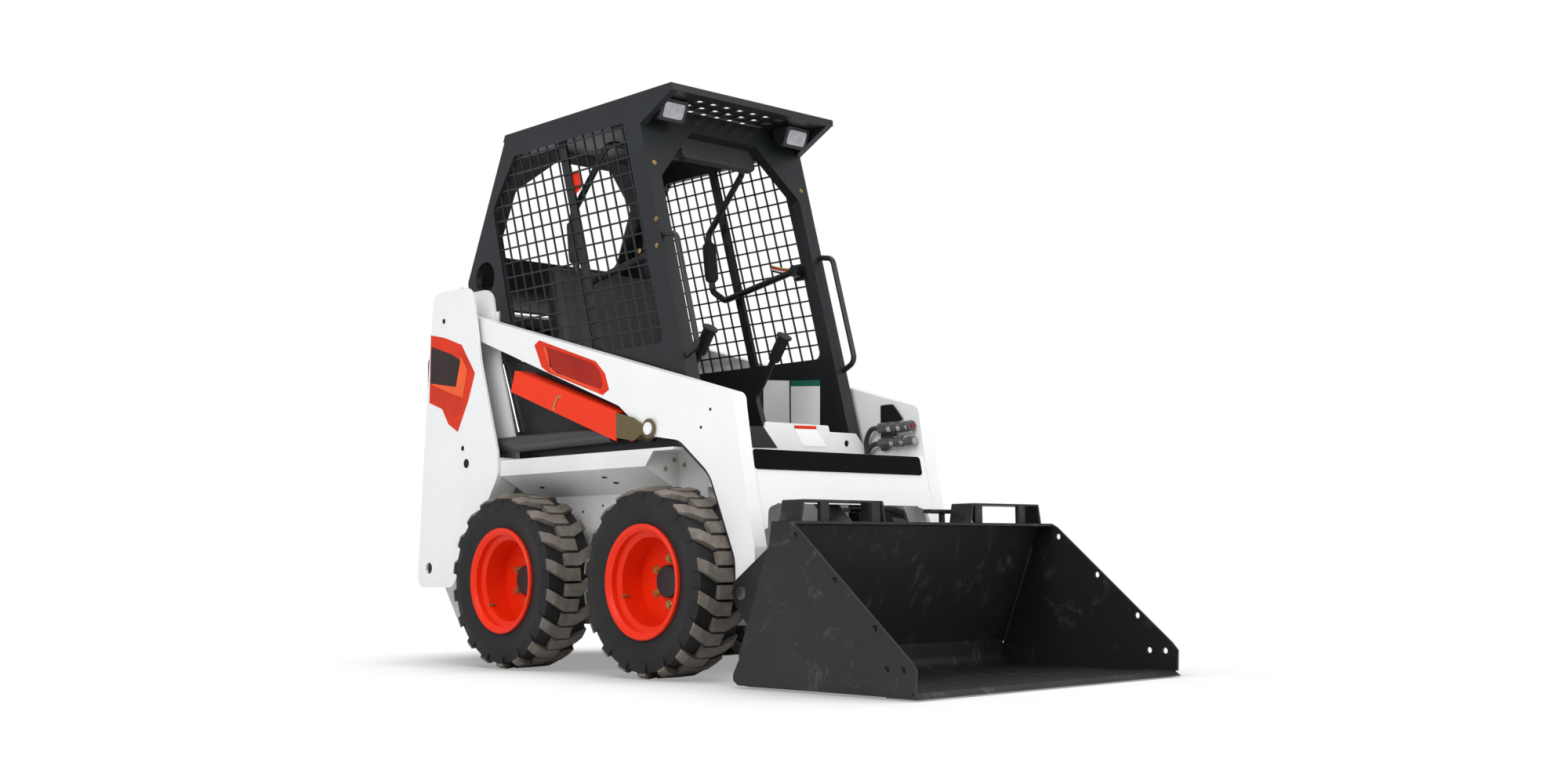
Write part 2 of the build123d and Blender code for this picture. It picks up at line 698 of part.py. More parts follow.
# Roof with its perforated sheet over the driver
grille_x = 104.5
grille_pitch = 57
with BuildPart() as roof:
    add(slab(side(-body_half), [
        (-622, roof_under + seat_gap), (-612, roof_height, 8), (298, roof_height, 8),
        (298, roof_under + seat_gap),
    ], -2 * body_half))
    for pocket_z, depth in ((roof_under, 5), (roof_height - 13, 13)):
        with BuildSketch(level(pocket_z)):
            with Locations((grille_x, 0)):
                RectangleRounded(5 * grille_pitch + 2, 7 * grille_pitch + 2, 12)
        extrude(amount=depth, mode=Mode.SUBTRACT)
    with BuildSketch(level(roof_under)):
        with Locations((grille_x, 0)):
            with GridLocations(grille_pitch, grille_pitch, 5, 7):
                Rectangle(30, 30)
    extrude(amount=roof_wall, mode=Mode.SUBTRACT)
finish(roof.part, "cab_roof")

# Work lamps hang under the roof's front and face down by a quarter of a right angle.
lamp_half = 52.5
lamp_top = roof_under - 2.5
with BuildPart() as lamps:
    for sign in (-1, 1):
        lamp_centre = side(sign * (body_half - 82))
        add(slab(lamp_centre, [
            (217, lamp_top, 4), (188, lamp_top - 65, 6), (165, lamp_top - 60, 20), (148, lamp_top - 36, 10),
            (148, lamp_top, 6),
        ], lamp_half, both=True))
        with BuildSketch(level(lamp_top - 5)):
            with Locations((180, sign * (body_half - 82))):
                Rectangle(24, 30)
        extrude(amount=7.5)
finish(lamps.part, "work_lamps")

# Grab handles on the cab's front edges
handle_y = body_half - panel_wall / 2
with BuildPart() as handles:
    for sign in (-1, 1):
        with BuildLine() as grip_line:
            FilletPolyline(
                (mid_x + front_x(1349) + 4, sign * handle_y, 1349), (mid_x + 300, sign * handle_y, 1340),
                (mid_x + 400, sign * handle_y, 985), (mid_x + front_x(961) + 5, sign * handle_y, 961),
                radius=30,
            )
        with BuildSketch(grip_line.line ^ 0):
            Circle(9)
        sweep()
finish(handles.part, "grab_handles")

# Kick panel: a folded sheet on the front of the tub
kick_x = 426
kick_wall = 5
kick_half = hull_half - 1.5
with BuildPart() as sill:
    add(slab(cross(kick_x), [
        (-kick_half, 560), (kick_half, 560), (kick_half, sill_z), (step_half, sill_z),
        (step_half, 692), (306, 745, 10), (186, 745, 6), (181, 765, 6), (-91, 765, 6), (-96, 745, 6),
        (-306, 745, 10), (-step_half, 692), (-step_half, sill_z), (-kick_half, sill_z),
    ], kick_wall))
    with BuildSketch(cross(kick_x)):
        with Locations((264, 711)):
            Circle(11)
    extrude(amount=kick_wall, mode=Mode.SUBTRACT)
    with BuildSketch(level(560)):
        with Locations(((hull_front + seat_gap + kick_x + 1) / 2, 0)):
            Rectangle(kick_x + 1 - hull_front - seat_gap, 2 * kick_half)
    extrude(amount=kick_wall)
    for sign in (-1, 1):
        with BuildSketch(level(560)):
            with Locations(((hull_front + seat_gap + kick_x + 1) / 2, sign * (kick_half - kick_wall / 2))):
                Rectangle(kick_x + 1 - hull_front - seat_gap, kick_wall)
        extrude(amount=deck_z - 560)
finish(sill.part, "front_sill")

# Driver's seat on its box, and the drive levers
seat_z = 780
with BuildPart() as seat:
    add(slab(side(-230), [
        (-120, seat_z, 20), (-120, seat_z + 85, 40), (-420, seat_z + 95, 30), (-470, seat_z + 570, 30),
        (-530, seat_z + 570, 30), (-490, seat_z),
    ], -460))
finish(seat.part, "seat")
with BuildPart() as seat_box:
    with BuildSketch(level(belly + hull_wall)):
        with Locations((-320, 0)):
            Rectangle(420, 500)
    extrude(amount=seat_z - seat_gap - hull_wall - belly)
finish(seat_box.part, "seat_box")
lever_y = 160
lever_top = (251, 1065)
lever_wrist = (200, 993)
with BuildPart() as levers:
    reach, tilt = beam(lever_wrist, lever_top)
    for sign in (-1, 1):
        with BuildLine() as stick:
            FilletPolyline(
                (mid_x + 240, sign * lever_y, belly + hull_wall + 1), (mid_x + 215, sign * lever_y, 600),
                (mid_x + 115, sign * lever_y, 880), (mid_x + 212, sign * lever_y, 1010), radius=40,
            )
        with BuildSketch(stick.line ^ 0):
            Circle(11)
        sweep()
        grip = Plane(
            origin=(mid_x + lever_wrist[0], sign * lever_y, lever_wrist[1]), x_dir=(0, 1, 0),
            z_dir=(cos(radians(tilt)), 0, sin(radians(tilt))),
        )
        with BuildSketch(grip):
            Circle(18)
        extrude(amount=reach)
        with BuildSketch(grip.offset(reach)):
            Circle(26)
        extrude(amount=5)
finish(levers.part, "drive_levers")

# Engine
with BuildPart() as engine:
    with BuildSketch(level(belly + hull_wall)):
        with Locations((-770, 0)):
            Rectangle(340, 440)
    extrude(amount=760)
finish(engine.part, "engine")

# Fixed hood under the cab's back
hood_z = 1200
hood_wall = 10
gate_front = hull_rear
with BuildPart() as hood:
    for sign in (-1, 1):
        add(slab(side(sign * (tower_inner - seat_gap - hood_wall / 2)), [
            (gate_front, sill_z), (-640, sill_z), (-640, hood_z), (-860, hood_z, 30), (gate_front, 1130, 20),
        ], hood_wall / 2, both=True))
    with BuildSketch(level(hood_z - 8)):
        with Locations((-760, 0)):
            Rectangle(200, 2 * (tower_inner - hood_wall))
    extrude(amount=8)
finish(hood.part, "engine_sides")

# Rear cover, hinged at its front
cover_half = tower_inner - 18
with BuildPart() as cover:
    add(slab(side(-cover_half), [(-860.3, 1172), (-860.3, 1192), (gate_front, 1127), (gate_front, 1107)],
             -2 * cover_half))
    for sign in (-1, 1):
        with BuildSketch(side(sign * 220)):
            with Locations((-870, 1197)):
                Circle(9)
        extrude(amount=40, both=True)
finish(cover.part, "rear_cover")

# Tailgate: a tray with louvres and pockets for the tail lamps, hinged on the left
gate_half = tower_inner - 6
gate_z = 690
gate_height = 800
lamp_y = gate_half - 76
lamp_z = 1000
with BuildPart() as tailgate:
    with BuildSketch(cross(rear_x)):
        with Locations((0, gate_z)):
            RectangleRounded(2 * gate_half, gate_height, 30)
    extrude(amount=50)
    with BuildSketch(cross(rear_x + sheet_wall)):
        with Locations((0, gate_z)):
            RectangleRounded(2 * (gate_half - sheet_wall), gate_height - 2 * sheet_wall, 24)
    extrude(amount=50, mode=Mode.SUBTRACT)
    with BuildSketch(cross(rear_x)):
        with Locations((0, 620)):
            with GridLocations(1, 44, 1, 7):
                SlotOverall(420, 16)
    extrude(amount=sheet_wall, mode=Mode.SUBTRACT)
    for sign in (-1, 1):
        for reach, gap, mode in ((20, 6, Mode.ADD), (14, 0, Mode.SUBTRACT)):
            with BuildSketch(cross(rear_x)):
                with Locations((sign * lamp_y, lamp_z)):
                    RectangleRounded(64 + 2 * gap, 112 + 2 * gap, 8)
            extrude(amount=reach, mode=mode)
    for knuckle_z in (420, 920):
        with BuildSketch(level(knuckle_z)):
            with Locations((rear_x + 9, gate_half)):
                Circle(9)
        extrude(amount=40, both=True)
finish(tailgate.part, "tailgate")
with BuildPart() as tail_lamps:
    for sign in (-1, 1):
        with BuildSketch(cross(rear_x + 1)):
            with Locations((sign * lamp_y, lamp_z)):
                RectangleRounded(64 - 2 * seat_gap, 112 - 2 * seat_gap, 8 - seat_gap)
        extrude(amount=13 - seat_gap)
finish(tail_lamps.part, "tail_lamps")

# Bar over the driver's lap, stored raised
bar_path = [bar_pivot, (-195, 1250), (-262, 1290), (-285, high(1495)), (-90, high(1700))]
with BuildPart() as bar:
    with BuildLine() as bar_line:
        FilletPolyline(
            [(mid_x + x, -bar_half, z) for x, z in bar_path]
            + [(mid_x + x, bar_half, z) for x, z in reversed(bar_path)], radius=30,
        )
    with BuildSketch(bar_line.line ^ 0):
        Circle(bar_radius)
    sweep()
    for sign in (-1, 1):
        with BuildSketch(side(sign * (inner_half - seat_gap))):
            with Locations(bar_pivot):
                Circle(20)
        extrude(amount=sign * 36)
finish(bar.part, "seat_bar")

# Prop that locks the raised arms: a channel stored under the right arm, hinged at the cylinder's upper pin
prop_inner = arm_inner - 6
prop_outer = arm_outer + 6
prop_wall = 4
with BuildPart() as prop:
    add(slab(side(-prop_inner + prop_wall), [(-452, 903), (-430, 972), (91, 806), (115, 800), (115, 708)],
             prop_outer - prop_inner + 2 * prop_wall))
    add(slab(side(-prop_inner), [(-600, 600), (-600, 1020), (87, 801), (150, 790), (150, 600)],
             prop_outer - prop_inner), mode=Mode.SUBTRACT)
    for ear_y in (prop_inner - prop_wall / 2, prop_outer + prop_wall / 2):
        with BuildSketch(side(-ear_y)):
            with BuildLine():
                Polyline((60, 728), (100, 800), (200, 775), lift_eye, (200, 705), close=True)
            make_face()
            with Locations(lift_eye):
                Circle(30)
            with Locations(lift_eye):
                Circle(pin_radius + pin_play, mode=Mode.SUBTRACT)
        extrude(amount=prop_wall / 2, both=True)
finish(prop.part, "arm_prop")
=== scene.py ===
# %% [markdown]
# This scene dresses a small skid steer loader whose working parts were made in CAD. The frame brings
# each CAD piece at its real place, in metres: the origin is on the ground in the middle of the machine,
# +X goes to the bucket and +Y to the driver's left. First the machine is brought in and measured.

# %% Bring in the machine
import math
import bmesh
import bpy
from mathutils import Matrix, Vector


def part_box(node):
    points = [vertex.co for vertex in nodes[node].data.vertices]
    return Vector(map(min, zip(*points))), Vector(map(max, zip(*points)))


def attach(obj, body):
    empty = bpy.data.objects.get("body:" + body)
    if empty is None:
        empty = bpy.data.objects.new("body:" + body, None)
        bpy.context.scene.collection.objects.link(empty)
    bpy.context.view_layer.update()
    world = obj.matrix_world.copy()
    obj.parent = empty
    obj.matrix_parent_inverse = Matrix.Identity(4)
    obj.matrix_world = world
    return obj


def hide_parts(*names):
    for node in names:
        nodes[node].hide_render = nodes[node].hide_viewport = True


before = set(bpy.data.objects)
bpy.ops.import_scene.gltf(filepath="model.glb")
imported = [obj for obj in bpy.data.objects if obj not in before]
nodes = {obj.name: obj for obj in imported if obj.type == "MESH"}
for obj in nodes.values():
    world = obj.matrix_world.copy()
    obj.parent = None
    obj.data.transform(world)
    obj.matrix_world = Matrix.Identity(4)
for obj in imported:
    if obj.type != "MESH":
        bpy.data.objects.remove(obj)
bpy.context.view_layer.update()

# %% [markdown]
# Every finish is a Principled shader fed by small procedural patterns. A pattern that several finishes
# share, such as the fine grain of paint or the darker layer low down, which is dust on most pieces and
# painted shade on the chassis, is a node group, built once, with its own values in each finish. Groups
# put out only masks, colours and heights.

# %% Helpers for node trees
def add_node(tree, kind, **values):
    """A node of a kind, with its inputs set by name and its settings by attribute."""
    node = tree.nodes.new(kind)
    for key, value in values.items():
        if key in node.inputs:
            node.inputs[key].default_value = value
        else:
            setattr(node, key, value)
    return node


def new_group(name, inputs, outputs):
    """A shader node group with float or colour sockets: (name, kind, default) for each input."""
    tree = bpy.data.node_groups.new(name, "ShaderNodeTree")
    for label, kind, default in inputs:
        socket = tree.interface.new_socket(name=label, in_out="INPUT", socket_type=kind)
        socket.default_value = default
    for label, kind in outputs:
        tree.interface.new_socket(name=label, in_out="OUTPUT", socket_type=kind)
    return tree, tree.nodes.new("NodeGroupInput"), tree.nodes.new("NodeGroupOutput")


FLOAT = "NodeSocketFloat"
COLOUR = "NodeSocketColor"

# %% Shared pattern: uneven tone, as paint and plastic have
tone, tone_in, tone_out = new_group(
    "uneven_tone", [("Colour", COLOUR, (1, 1, 1, 1)), ("Scale", FLOAT, 6), ("Strength", FLOAT, 0.05)],
    [("Colour", COLOUR), ("Mask", FLOAT)],
)
place = add_node(tone, "ShaderNodeTexCoord")
clouds = add_node(tone, "ShaderNodeTexNoise", Detail=5, Roughness=0.6)
tone.links.new(place.outputs["Object"], clouds.inputs["Vector"])
tone.links.new(tone_in.outputs["Scale"], clouds.inputs["Scale"])
swing = add_node(tone, "ShaderNodeMapRange")
swing.inputs["From Min"].default_value = 0.3
swing.inputs["From Max"].default_value = 0.7
tone.links.new(clouds.outputs["Fac"], swing.inputs["Value"])
amount = add_node(tone, "ShaderNodeMath", operation="MULTIPLY")
tone.links.new(swing.outputs["Result"], amount.inputs[0])
tone.links.new(tone_in.outputs["Strength"], amount.inputs[1])
darker = add_node(tone, "ShaderNodeMix", data_type="RGBA", blend_type="MULTIPLY")
darker.inputs["B"].default_value = (0.0, 0.0, 0.0, 1)
tone.links.new(amount.outputs[0], darker.inputs["Factor"])
tone.links.new(tone_in.outputs["Colour"], darker.inputs["A"])
tone.links.new(darker.outputs["Result"], tone_out.inputs["Colour"])
tone.links.new(swing.outputs["Result"], tone_out.inputs["Mask"])
print("pattern", tone.name)

# %% Shared pattern: a darker layer that lies thicker near the ground, as dust, and as painted shade under the chassis's fenders
dust_and_shade, dust_and_shade_in, dust_and_shade_out = new_group(
    "low_dust_and_shade", [("Top", FLOAT, 0.6), ("Scale", FLOAT, 30), ("Strength", FLOAT, 0.5)], [("Mask", FLOAT)],
)
place = add_node(dust_and_shade, "ShaderNodeTexCoord")
split = add_node(dust_and_shade, "ShaderNodeSeparateXYZ")
dust_and_shade.links.new(place.outputs["Object"], split.inputs[0])
height = add_node(dust_and_shade, "ShaderNodeMapRange")
height.inputs["To Min"].default_value = 1
height.inputs["To Max"].default_value = 0
dust_and_shade.links.new(split.outputs["Z"], height.inputs["Value"])
dust_and_shade.links.new(dust_and_shade_in.outputs["Top"], height.inputs["From Max"])
specks = add_node(dust_and_shade, "ShaderNodeTexNoise", Detail=8, Roughness=0.7)
dust_and_shade.links.new(place.outputs["Object"], specks.inputs["Vector"])
dust_and_shade.links.new(dust_and_shade_in.outputs["Scale"], specks.inputs["Scale"])
spread = add_node(dust_and_shade, "ShaderNodeMath", operation="MULTIPLY")
dust_and_shade.links.new(height.outputs["Result"], spread.inputs[0])
dust_and_shade.links.new(specks.outputs["Fac"], spread.inputs[1])
weight = add_node(dust_and_shade, "ShaderNodeMath", operation="MULTIPLY")
dust_and_shade.links.new(spread.outputs[0], weight.inputs[0])
dust_and_shade.links.new(dust_and_shade_in.outputs["Strength"], weight.inputs[1])
dust_and_shade.links.new(weight.outputs[0], dust_and_shade_out.inputs["Mask"])
print("pattern", dust_and_shade.name)

# %% Shared pattern: scratches and bare marks, as loading leaves on a bucket
scuff, scuff_in, scuff_out = new_group(
    "scuffs", [("Scale", FLOAT, 8), ("Reach", FLOAT, 0.62), ("Stretch", FLOAT, 6)], [("Mask", FLOAT)],
)
place = add_node(scuff, "ShaderNodeTexCoord")
stretch = add_node(scuff, "ShaderNodeCombineXYZ", X=1.0)
scuff.links.new(scuff_in.outputs["Stretch"], stretch.inputs["Y"])
stretch.inputs["Z"].default_value = 1.0
squeeze = add_node(scuff, "ShaderNodeVectorMath", operation="MULTIPLY")
scuff.links.new(place.outputs["Object"], squeeze.inputs[0])
scuff.links.new(stretch.outputs[0], squeeze.inputs[1])
marks = add_node(scuff, "ShaderNodeTexNoise", Detail=9, Roughness=0.75, Distortion=0.6)
scuff.links.new(squeeze.outputs[0], marks.inputs["Vector"])
scuff.links.new(scuff_in.outputs["Scale"], marks.inputs["Scale"])
edge = add_node(scuff, "ShaderNodeMapRange")
edge.inputs["From Max"].default_value = 0.8
scuff.links.new(marks.outputs["Fac"], edge.inputs["Value"])
scuff.links.new(scuff_in.outputs["Reach"], edge.inputs["From Min"])
scuff.links.new(edge.outputs["Result"], scuff_out.inputs["Mask"])
print("pattern", scuff.name)

# %% Shared pattern: dried dirt on the faces of a tyre's lugs, past a radius from its axle
tread, tread_in, tread_out = new_group(
    "tread_dirt", [("Centre", "NodeSocketVector", (0, 0, 0.281)), ("Inner", FLOAT, 0.262),
                   ("Outer", FLOAT, 0.2655), ("Strength", FLOAT, 0.75)], [("Mask", FLOAT)],
)
place = add_node(tread, "ShaderNodeTexCoord")
from_axle = add_node(tread, "ShaderNodeVectorMath", operation="SUBTRACT")
flat = add_node(tread, "ShaderNodeVectorMath", operation="MULTIPLY")
flat.inputs[1].default_value = (1, 0, 1)
radius = add_node(tread, "ShaderNodeVectorMath", operation="LENGTH")
past = add_node(tread, "ShaderNodeMapRange")
patches = add_node(tread, "ShaderNodeTexNoise", Scale=26, Detail=7, Roughness=0.7)
dirt = add_node(tread, "ShaderNodeMath", operation="MULTIPLY")
scaled = add_node(tread, "ShaderNodeMath", operation="MULTIPLY", use_clamp=True)
tread.links.new(place.outputs["Object"], from_axle.inputs[0])
tread.links.new(tread_in.outputs["Centre"], from_axle.inputs[1])
tread.links.new(from_axle.outputs[0], flat.inputs[0])
tread.links.new(flat.outputs[0], radius.inputs[0])
tread.links.new(radius.outputs["Value"], past.inputs["Value"])
tread.links.new(tread_in.outputs["Inner"], past.inputs["From Min"])
tread.links.new(tread_in.outputs["Outer"], past.inputs["From Max"])
tread.links.new(place.outputs["Object"], patches.inputs["Vector"])
tread.links.new(past.outputs["Result"], dirt.inputs[0])
tread.links.new(patches.outputs["Fac"], dirt.inputs[1])
tread.links.new(dirt.outputs[0], scaled.inputs[0])
tread.links.new(tread_in.outputs["Strength"], scaled.inputs[1])
tread.links.new(scaled.outputs[0], tread_out.inputs["Mask"])
print("pattern", tread.name)

# %% Shared pattern: one end of a piece, past an X
end_zone, end_in, end_out = new_group("end_zone", [("Start", FLOAT, 0.0)], [("Mask", FLOAT)])
place = add_node(end_zone, "ShaderNodeTexCoord")
split = add_node(end_zone, "ShaderNodeSeparateXYZ")
beyond = add_node(end_zone, "ShaderNodeMath", operation="GREATER_THAN")
end_zone.links.new(place.outputs["Object"], split.inputs[0])
end_zone.links.new(split.outputs["X"], beyond.inputs[0])
end_zone.links.new(end_in.outputs["Start"], beyond.inputs[1])
end_zone.links.new(beyond.outputs[0], end_out.inputs["Mask"])
print("pattern", end_zone.name)

# %% Shared pattern: what lies near a line along X, such as a coupler on its bracket
near_line, near_in, near_out = new_group(
    "near_line", [("Place", "NodeSocketVector", (0, 0, 0)), ("Reach", FLOAT, 0.0185), ("Drop", FLOAT, 0.048)],
    [("Mask", FLOAT)],
)
place = add_node(near_line, "ShaderNodeTexCoord")
off_line = add_node(near_line, "ShaderNodeVectorMath", operation="SUBTRACT")
axes_yz = add_node(near_line, "ShaderNodeSeparateXYZ")
lower = add_node(near_line, "ShaderNodeMath", operation="ADD")
near_line.links.new(place.outputs["Object"], off_line.inputs[0])
near_line.links.new(near_in.outputs["Place"], off_line.inputs[1])
near_line.links.new(off_line.outputs[0], axes_yz.inputs[0])
near_line.links.new(axes_yz.outputs["Z"], lower.inputs[0])
near_line.links.new(near_in.outputs["Drop"], lower.inputs[1])
insides = []
for height in (axes_yz.outputs["Z"], lower.outputs[0]):
    flat = add_node(near_line, "ShaderNodeCombineXYZ")
    distance = add_node(near_line, "ShaderNodeVectorMath", operation="LENGTH")
    inside = add_node(near_line, "ShaderNodeMath", operation="LESS_THAN")
    near_line.links.new(axes_yz.outputs["Y"], flat.inputs["Y"])
    near_line.links.new(height, flat.inputs["Z"])
    near_line.links.new(flat.outputs[0], distance.inputs[0])
    near_line.links.new(distance.outputs["Value"], inside.inputs[0])
    near_line.links.new(near_in.outputs["Reach"], inside.inputs[1])
    insides.append(inside)
either = add_node(near_line, "ShaderNodeMath", operation="MAXIMUM")
near_line.links.new(insides[0].outputs[0], either.inputs[0])
near_line.links.new(insides[1].outputs[0], either.inputs[1])
near_line.links.new(either.outputs[0], near_out.inputs["Mask"])
print("pattern", near_line.name)

# %% [markdown]
# A finish starts from its base colour, takes the uneven tone, then a layer of marks on top, such as
# dust, scuffs or painted shade, and a fine bump. Writing that chain once keeps all painted and moulded
# pieces of one family.

# %% A finish from its base colour and its marks
def finish(name, colour, roughness, metallic=0.0, coat=0.0, tone_strength=0.12, tone_scale=5.0,
           mark=None, mark_colour=(0.3, 0.27, 0.22), mark_values=None, grain_scale=400.0, grain_height=0.05,
           ribs=None, specular=0.5):
    """A material: base colour and tone, an optional layer of marks, and a fine bump or ribs."""
    material = bpy.data.materials.new(name)
    material.use_nodes = True
    tree = material.node_tree
    shader = tree.nodes["Principled BSDF"]
    shader.inputs["Metallic"].default_value = metallic
    shader.inputs["Specular IOR Level"].default_value = specular
    shader.inputs["Coat Weight"].default_value = coat
    shader.inputs["Coat Roughness"].default_value = 0.08
    base = add_node(tree, "ShaderNodeGroup", node_tree=tone)
    base.inputs["Colour"].default_value = (*colour, 1)
    base.inputs["Scale"].default_value = tone_scale
    base.inputs["Strength"].default_value = tone_strength
    last_colour = base.outputs["Colour"]
    rough = add_node(tree, "ShaderNodeMapRange")
    rough.inputs["To Min"].default_value = roughness
    rough.inputs["To Max"].default_value = min(1.0, roughness * 1.25)
    tree.links.new(base.outputs["Mask"], rough.inputs["Value"])
    if mark:
        layer = add_node(tree, "ShaderNodeGroup", node_tree=mark)
        for key, value in (mark_values or {}).items():
            layer.inputs[key].default_value = value
        over = add_node(tree, "ShaderNodeMix", data_type="RGBA")
        over.inputs["B"].default_value = (*mark_colour, 1)
        tree.links.new(layer.outputs["Mask"], over.inputs["Factor"])
        tree.links.new(last_colour, over.inputs["A"])
        last_colour = over.outputs["Result"]
    tree.links.new(last_colour, shader.inputs["Base Color"])
    tree.links.new(rough.outputs["Result"], shader.inputs["Roughness"])
    place = add_node(tree, "ShaderNodeTexCoord")
    if ribs:
        grain = add_node(tree, "ShaderNodeTexWave", Scale=ribs, bands_direction="Y")
    else:
        grain = add_node(tree, "ShaderNodeTexNoise", Scale=grain_scale, Detail=3)
    tree.links.new(place.outputs["Object"], grain.inputs["Vector"])
    bump = add_node(tree, "ShaderNodeBump", Distance=0.001, Strength=grain_height)
    tree.links.new(grain.outputs["Fac"], bump.inputs["Height"])
    tree.links.new(bump.outputs["Normal"], shader.inputs["Normal"])
    return material


# %% The machine's finishes
white_paint = finish("white_paint", (0.80, 0.80, 0.79), 0.32, coat=0.25, tone_strength=0.05,
                     mark=dust_and_shade, mark_colour=(0.42, 0.39, 0.34), mark_values={"Top": 0.45, "Strength": 0.3})
cab_paint = finish("cab_black_paint", (0.011, 0.013, 0.0145), 0.36, coat=0.1, tone_strength=0.25,
                   specular=0.35)
orange_paint = finish("orange_paint", (0.78, 0.024, 0.002), 0.36, tone_strength=0.12, specular=0.22)
bucket_paint = finish("bucket_paint", (0.010, 0.0115, 0.011), 0.42, tone_strength=0.35, specular=0.35,
                      mark=scuff, mark_colour=(0.09, 0.085, 0.07),
                      mark_values={"Scale": 9, "Reach": 0.56, "Stretch": 1.8})
# The chassis's dark low layer is dust and painted shade: it stands for the shade under the fenders and
# between the wheels.
hull_paint = finish("hull_white_paint", (0.76, 0.76, 0.75), 0.36, coat=0.15, tone_strength=0.1, mark=dust_and_shade,
                    mark_colour=(0.13, 0.115, 0.095), mark_values={"Top": 0.75, "Strength": 0.85})
TYRES = {}
for axle, centre_x in (("front", 0.361 - 0.1845), ("rear", -0.361 - 0.1845)):
    TYRES[axle] = finish(
        "tyre_rubber_" + axle, (0.014, 0.014, 0.014), 0.62, tone_strength=0.3, specular=0.3, mark=tread,
        mark_colour=(0.22, 0.19, 0.16), mark_values={"Centre": (centre_x, 0, 0.281), "Strength": 1.3},
        grain_scale=250, grain_height=0.2)
hub_paint = finish("hub_black_paint", (0.008, 0.008, 0.009), 0.4)
chrome = finish("chrome_rod", (0.62, 0.63, 0.64), 0.18, metallic=1.0, tone_strength=0.05, grain_height=0.01)
cylinder_paint = finish("cylinder_paint", (0.03, 0.03, 0.031), 0.38, coat=0.2)
zinc = finish("zinc_plate", (0.50, 0.42, 0.26), 0.4, metallic=0.85, tone_strength=0.3, tone_scale=20)
seat_cloth = finish("seat_vinyl", (0.012, 0.012, 0.013), 0.55, grain_scale=180, grain_height=0.4)
lens = finish("lamp_lens", (0.42, 0.42, 0.44), 0.15, coat=0.5, tone_strength=0.35, tone_scale=40,
              grain_height=0.6, ribs=28)
prop_paint = finish("prop_paint", (0.78, 0.034, 0.004), 0.42, specular=0.25, tone_strength=0.1, mark=end_zone,
                    mark_colour=(0.11, 0.085, 0.035), mark_values={"Start": 0.115 - 0.1845})
coupler_steel = finish("coupler_steel", (0.008, 0.008, 0.009), 0.3, metallic=0.0, mark=near_line,
                       mark_colour=(0.07, 0.072, 0.075), mark_values={"Place": (0, 0.347, 0.760)})
dark_red = finish("cap_red", (0.2, 0.006, 0.006), 0.4)
red_lens = finish("red_lens", (0.5, 0.008, 0.006), 0.15, coat=0.5, grain_height=0.4, ribs=40)
brass = finish("yellow_zinc", (0.55, 0.38, 0.14), 0.35, metallic=0.9, tone_strength=0.4, tone_scale=60)
# Black for the insides of small holes and slots: painted shade, as the openings are not cut.
painted_hole_shade = finish("painted_hole_shade", (0.004, 0.004, 0.004), 0.8)
tape = finish("grip_tape", (0.003, 0.003, 0.003), 0.8, specular=0.12, grain_scale=900, grain_height=0.9)
trim_rubber = finish("trim_rubber", (0.006, 0.006, 0.006), 0.5, grain_scale=200, grain_height=0.2)
hose_rubber = finish("hose_rubber", (0.02, 0.02, 0.02), 0.45, grain_scale=700, grain_height=0.5)
foam = finish("bar_foam", (0.018, 0.018, 0.019), 0.8, grain_scale=500, grain_height=0.7)
sign_orange = finish("sign_orange", (0.74, 0.032, 0.003), 0.32, specular=0.25,
                     tone_strength=0.35, tone_scale=5)
sign_deep = finish("sign_deep_orange", (0.4, 0.012, 0.002), 0.3, specular=0.25,
                   tone_strength=0.5, tone_scale=5)
sign_dark = finish("sign_dark", (0.03, 0.014, 0.012), 0.3, specular=0.3, tone_strength=0.5, tone_scale=5)
sign_light = finish("sign_light_orange", (0.85, 0.11, 0.025), 0.3, specular=0.25,
                    tone_strength=0.2, tone_scale=6)
sign_white = finish("sign_white", (0.93, 0.93, 0.92), 0.4, tone_strength=0.04)
sign_yellow = finish("sign_yellow", (0.55, 0.42, 0.08), 0.4, tone_strength=0.1)
sign_green = finish("sign_green", (0.01, 0.17, 0.11), 0.4, tone_strength=0.1)
engine_paint = finish("engine_grey", (0.09, 0.09, 0.09), 0.6, tone_strength=0.4, tone_scale=12)

# %% Which piece gets which finish
FINISHES = {
    hull_paint: ("chassis",),
    white_paint: ("tower_", "lift_arms", "engine_sides", "front_sill"),
    cab_paint: ("cab_", "tailgate", "rear_cover", "side_mesh_", "grab_handles", "seat_bar", "work_lamps",
                "drive_levers"),
    orange_paint: ("wheel_",),
    prop_paint: ("arm_prop",),
    coupler_steel: ("coupler_bracket",),
    red_lens: ("tail_lamps",),
    bucket_paint: ("bucket", "cutting_edge", "tilt_foot"),
    TYRES["front"]: ("tyre_front",),
    TYRES["rear"]: ("tyre_rear",),
    hub_paint: ("hub_", "axle_tubes"),
    chrome: ("lift_rod_", "tilt_rod", "bucket_pins"),
    cylinder_paint: ("lift_barrel_", "tilt_barrel", "tilt_piston"),
    seat_cloth: ("seat", "seat_box", "head_pad"),
    engine_paint: ("engine",),
}


def paint(piece, material):
    """Give a CAD piece one finish."""
    piece.data.materials.clear()
    piece.data.materials.append(material)


for name, piece in nodes.items():
    best = None
    for material, starts in FINISHES.items():
        for start in starts:
            if name.startswith(start) and (best is None or len(start) > best[0]):
                best = (len(start), material)
    if best is None:
        print("no finish for", name)
        continue
    paint(piece, best[1])

# %% [markdown]
# The details that a CAD part has no use for are made here: trim, bolts, blank signs, hoses, the ribs of
# the grips and the upholstery. Places are given as in the machine's side view, in millimetres from the
# middle of the wheelbase, and each piece keeps its place in its mesh, with its object at the origin.

# %% Helpers for places and meshes
MIDDLE = 184.5


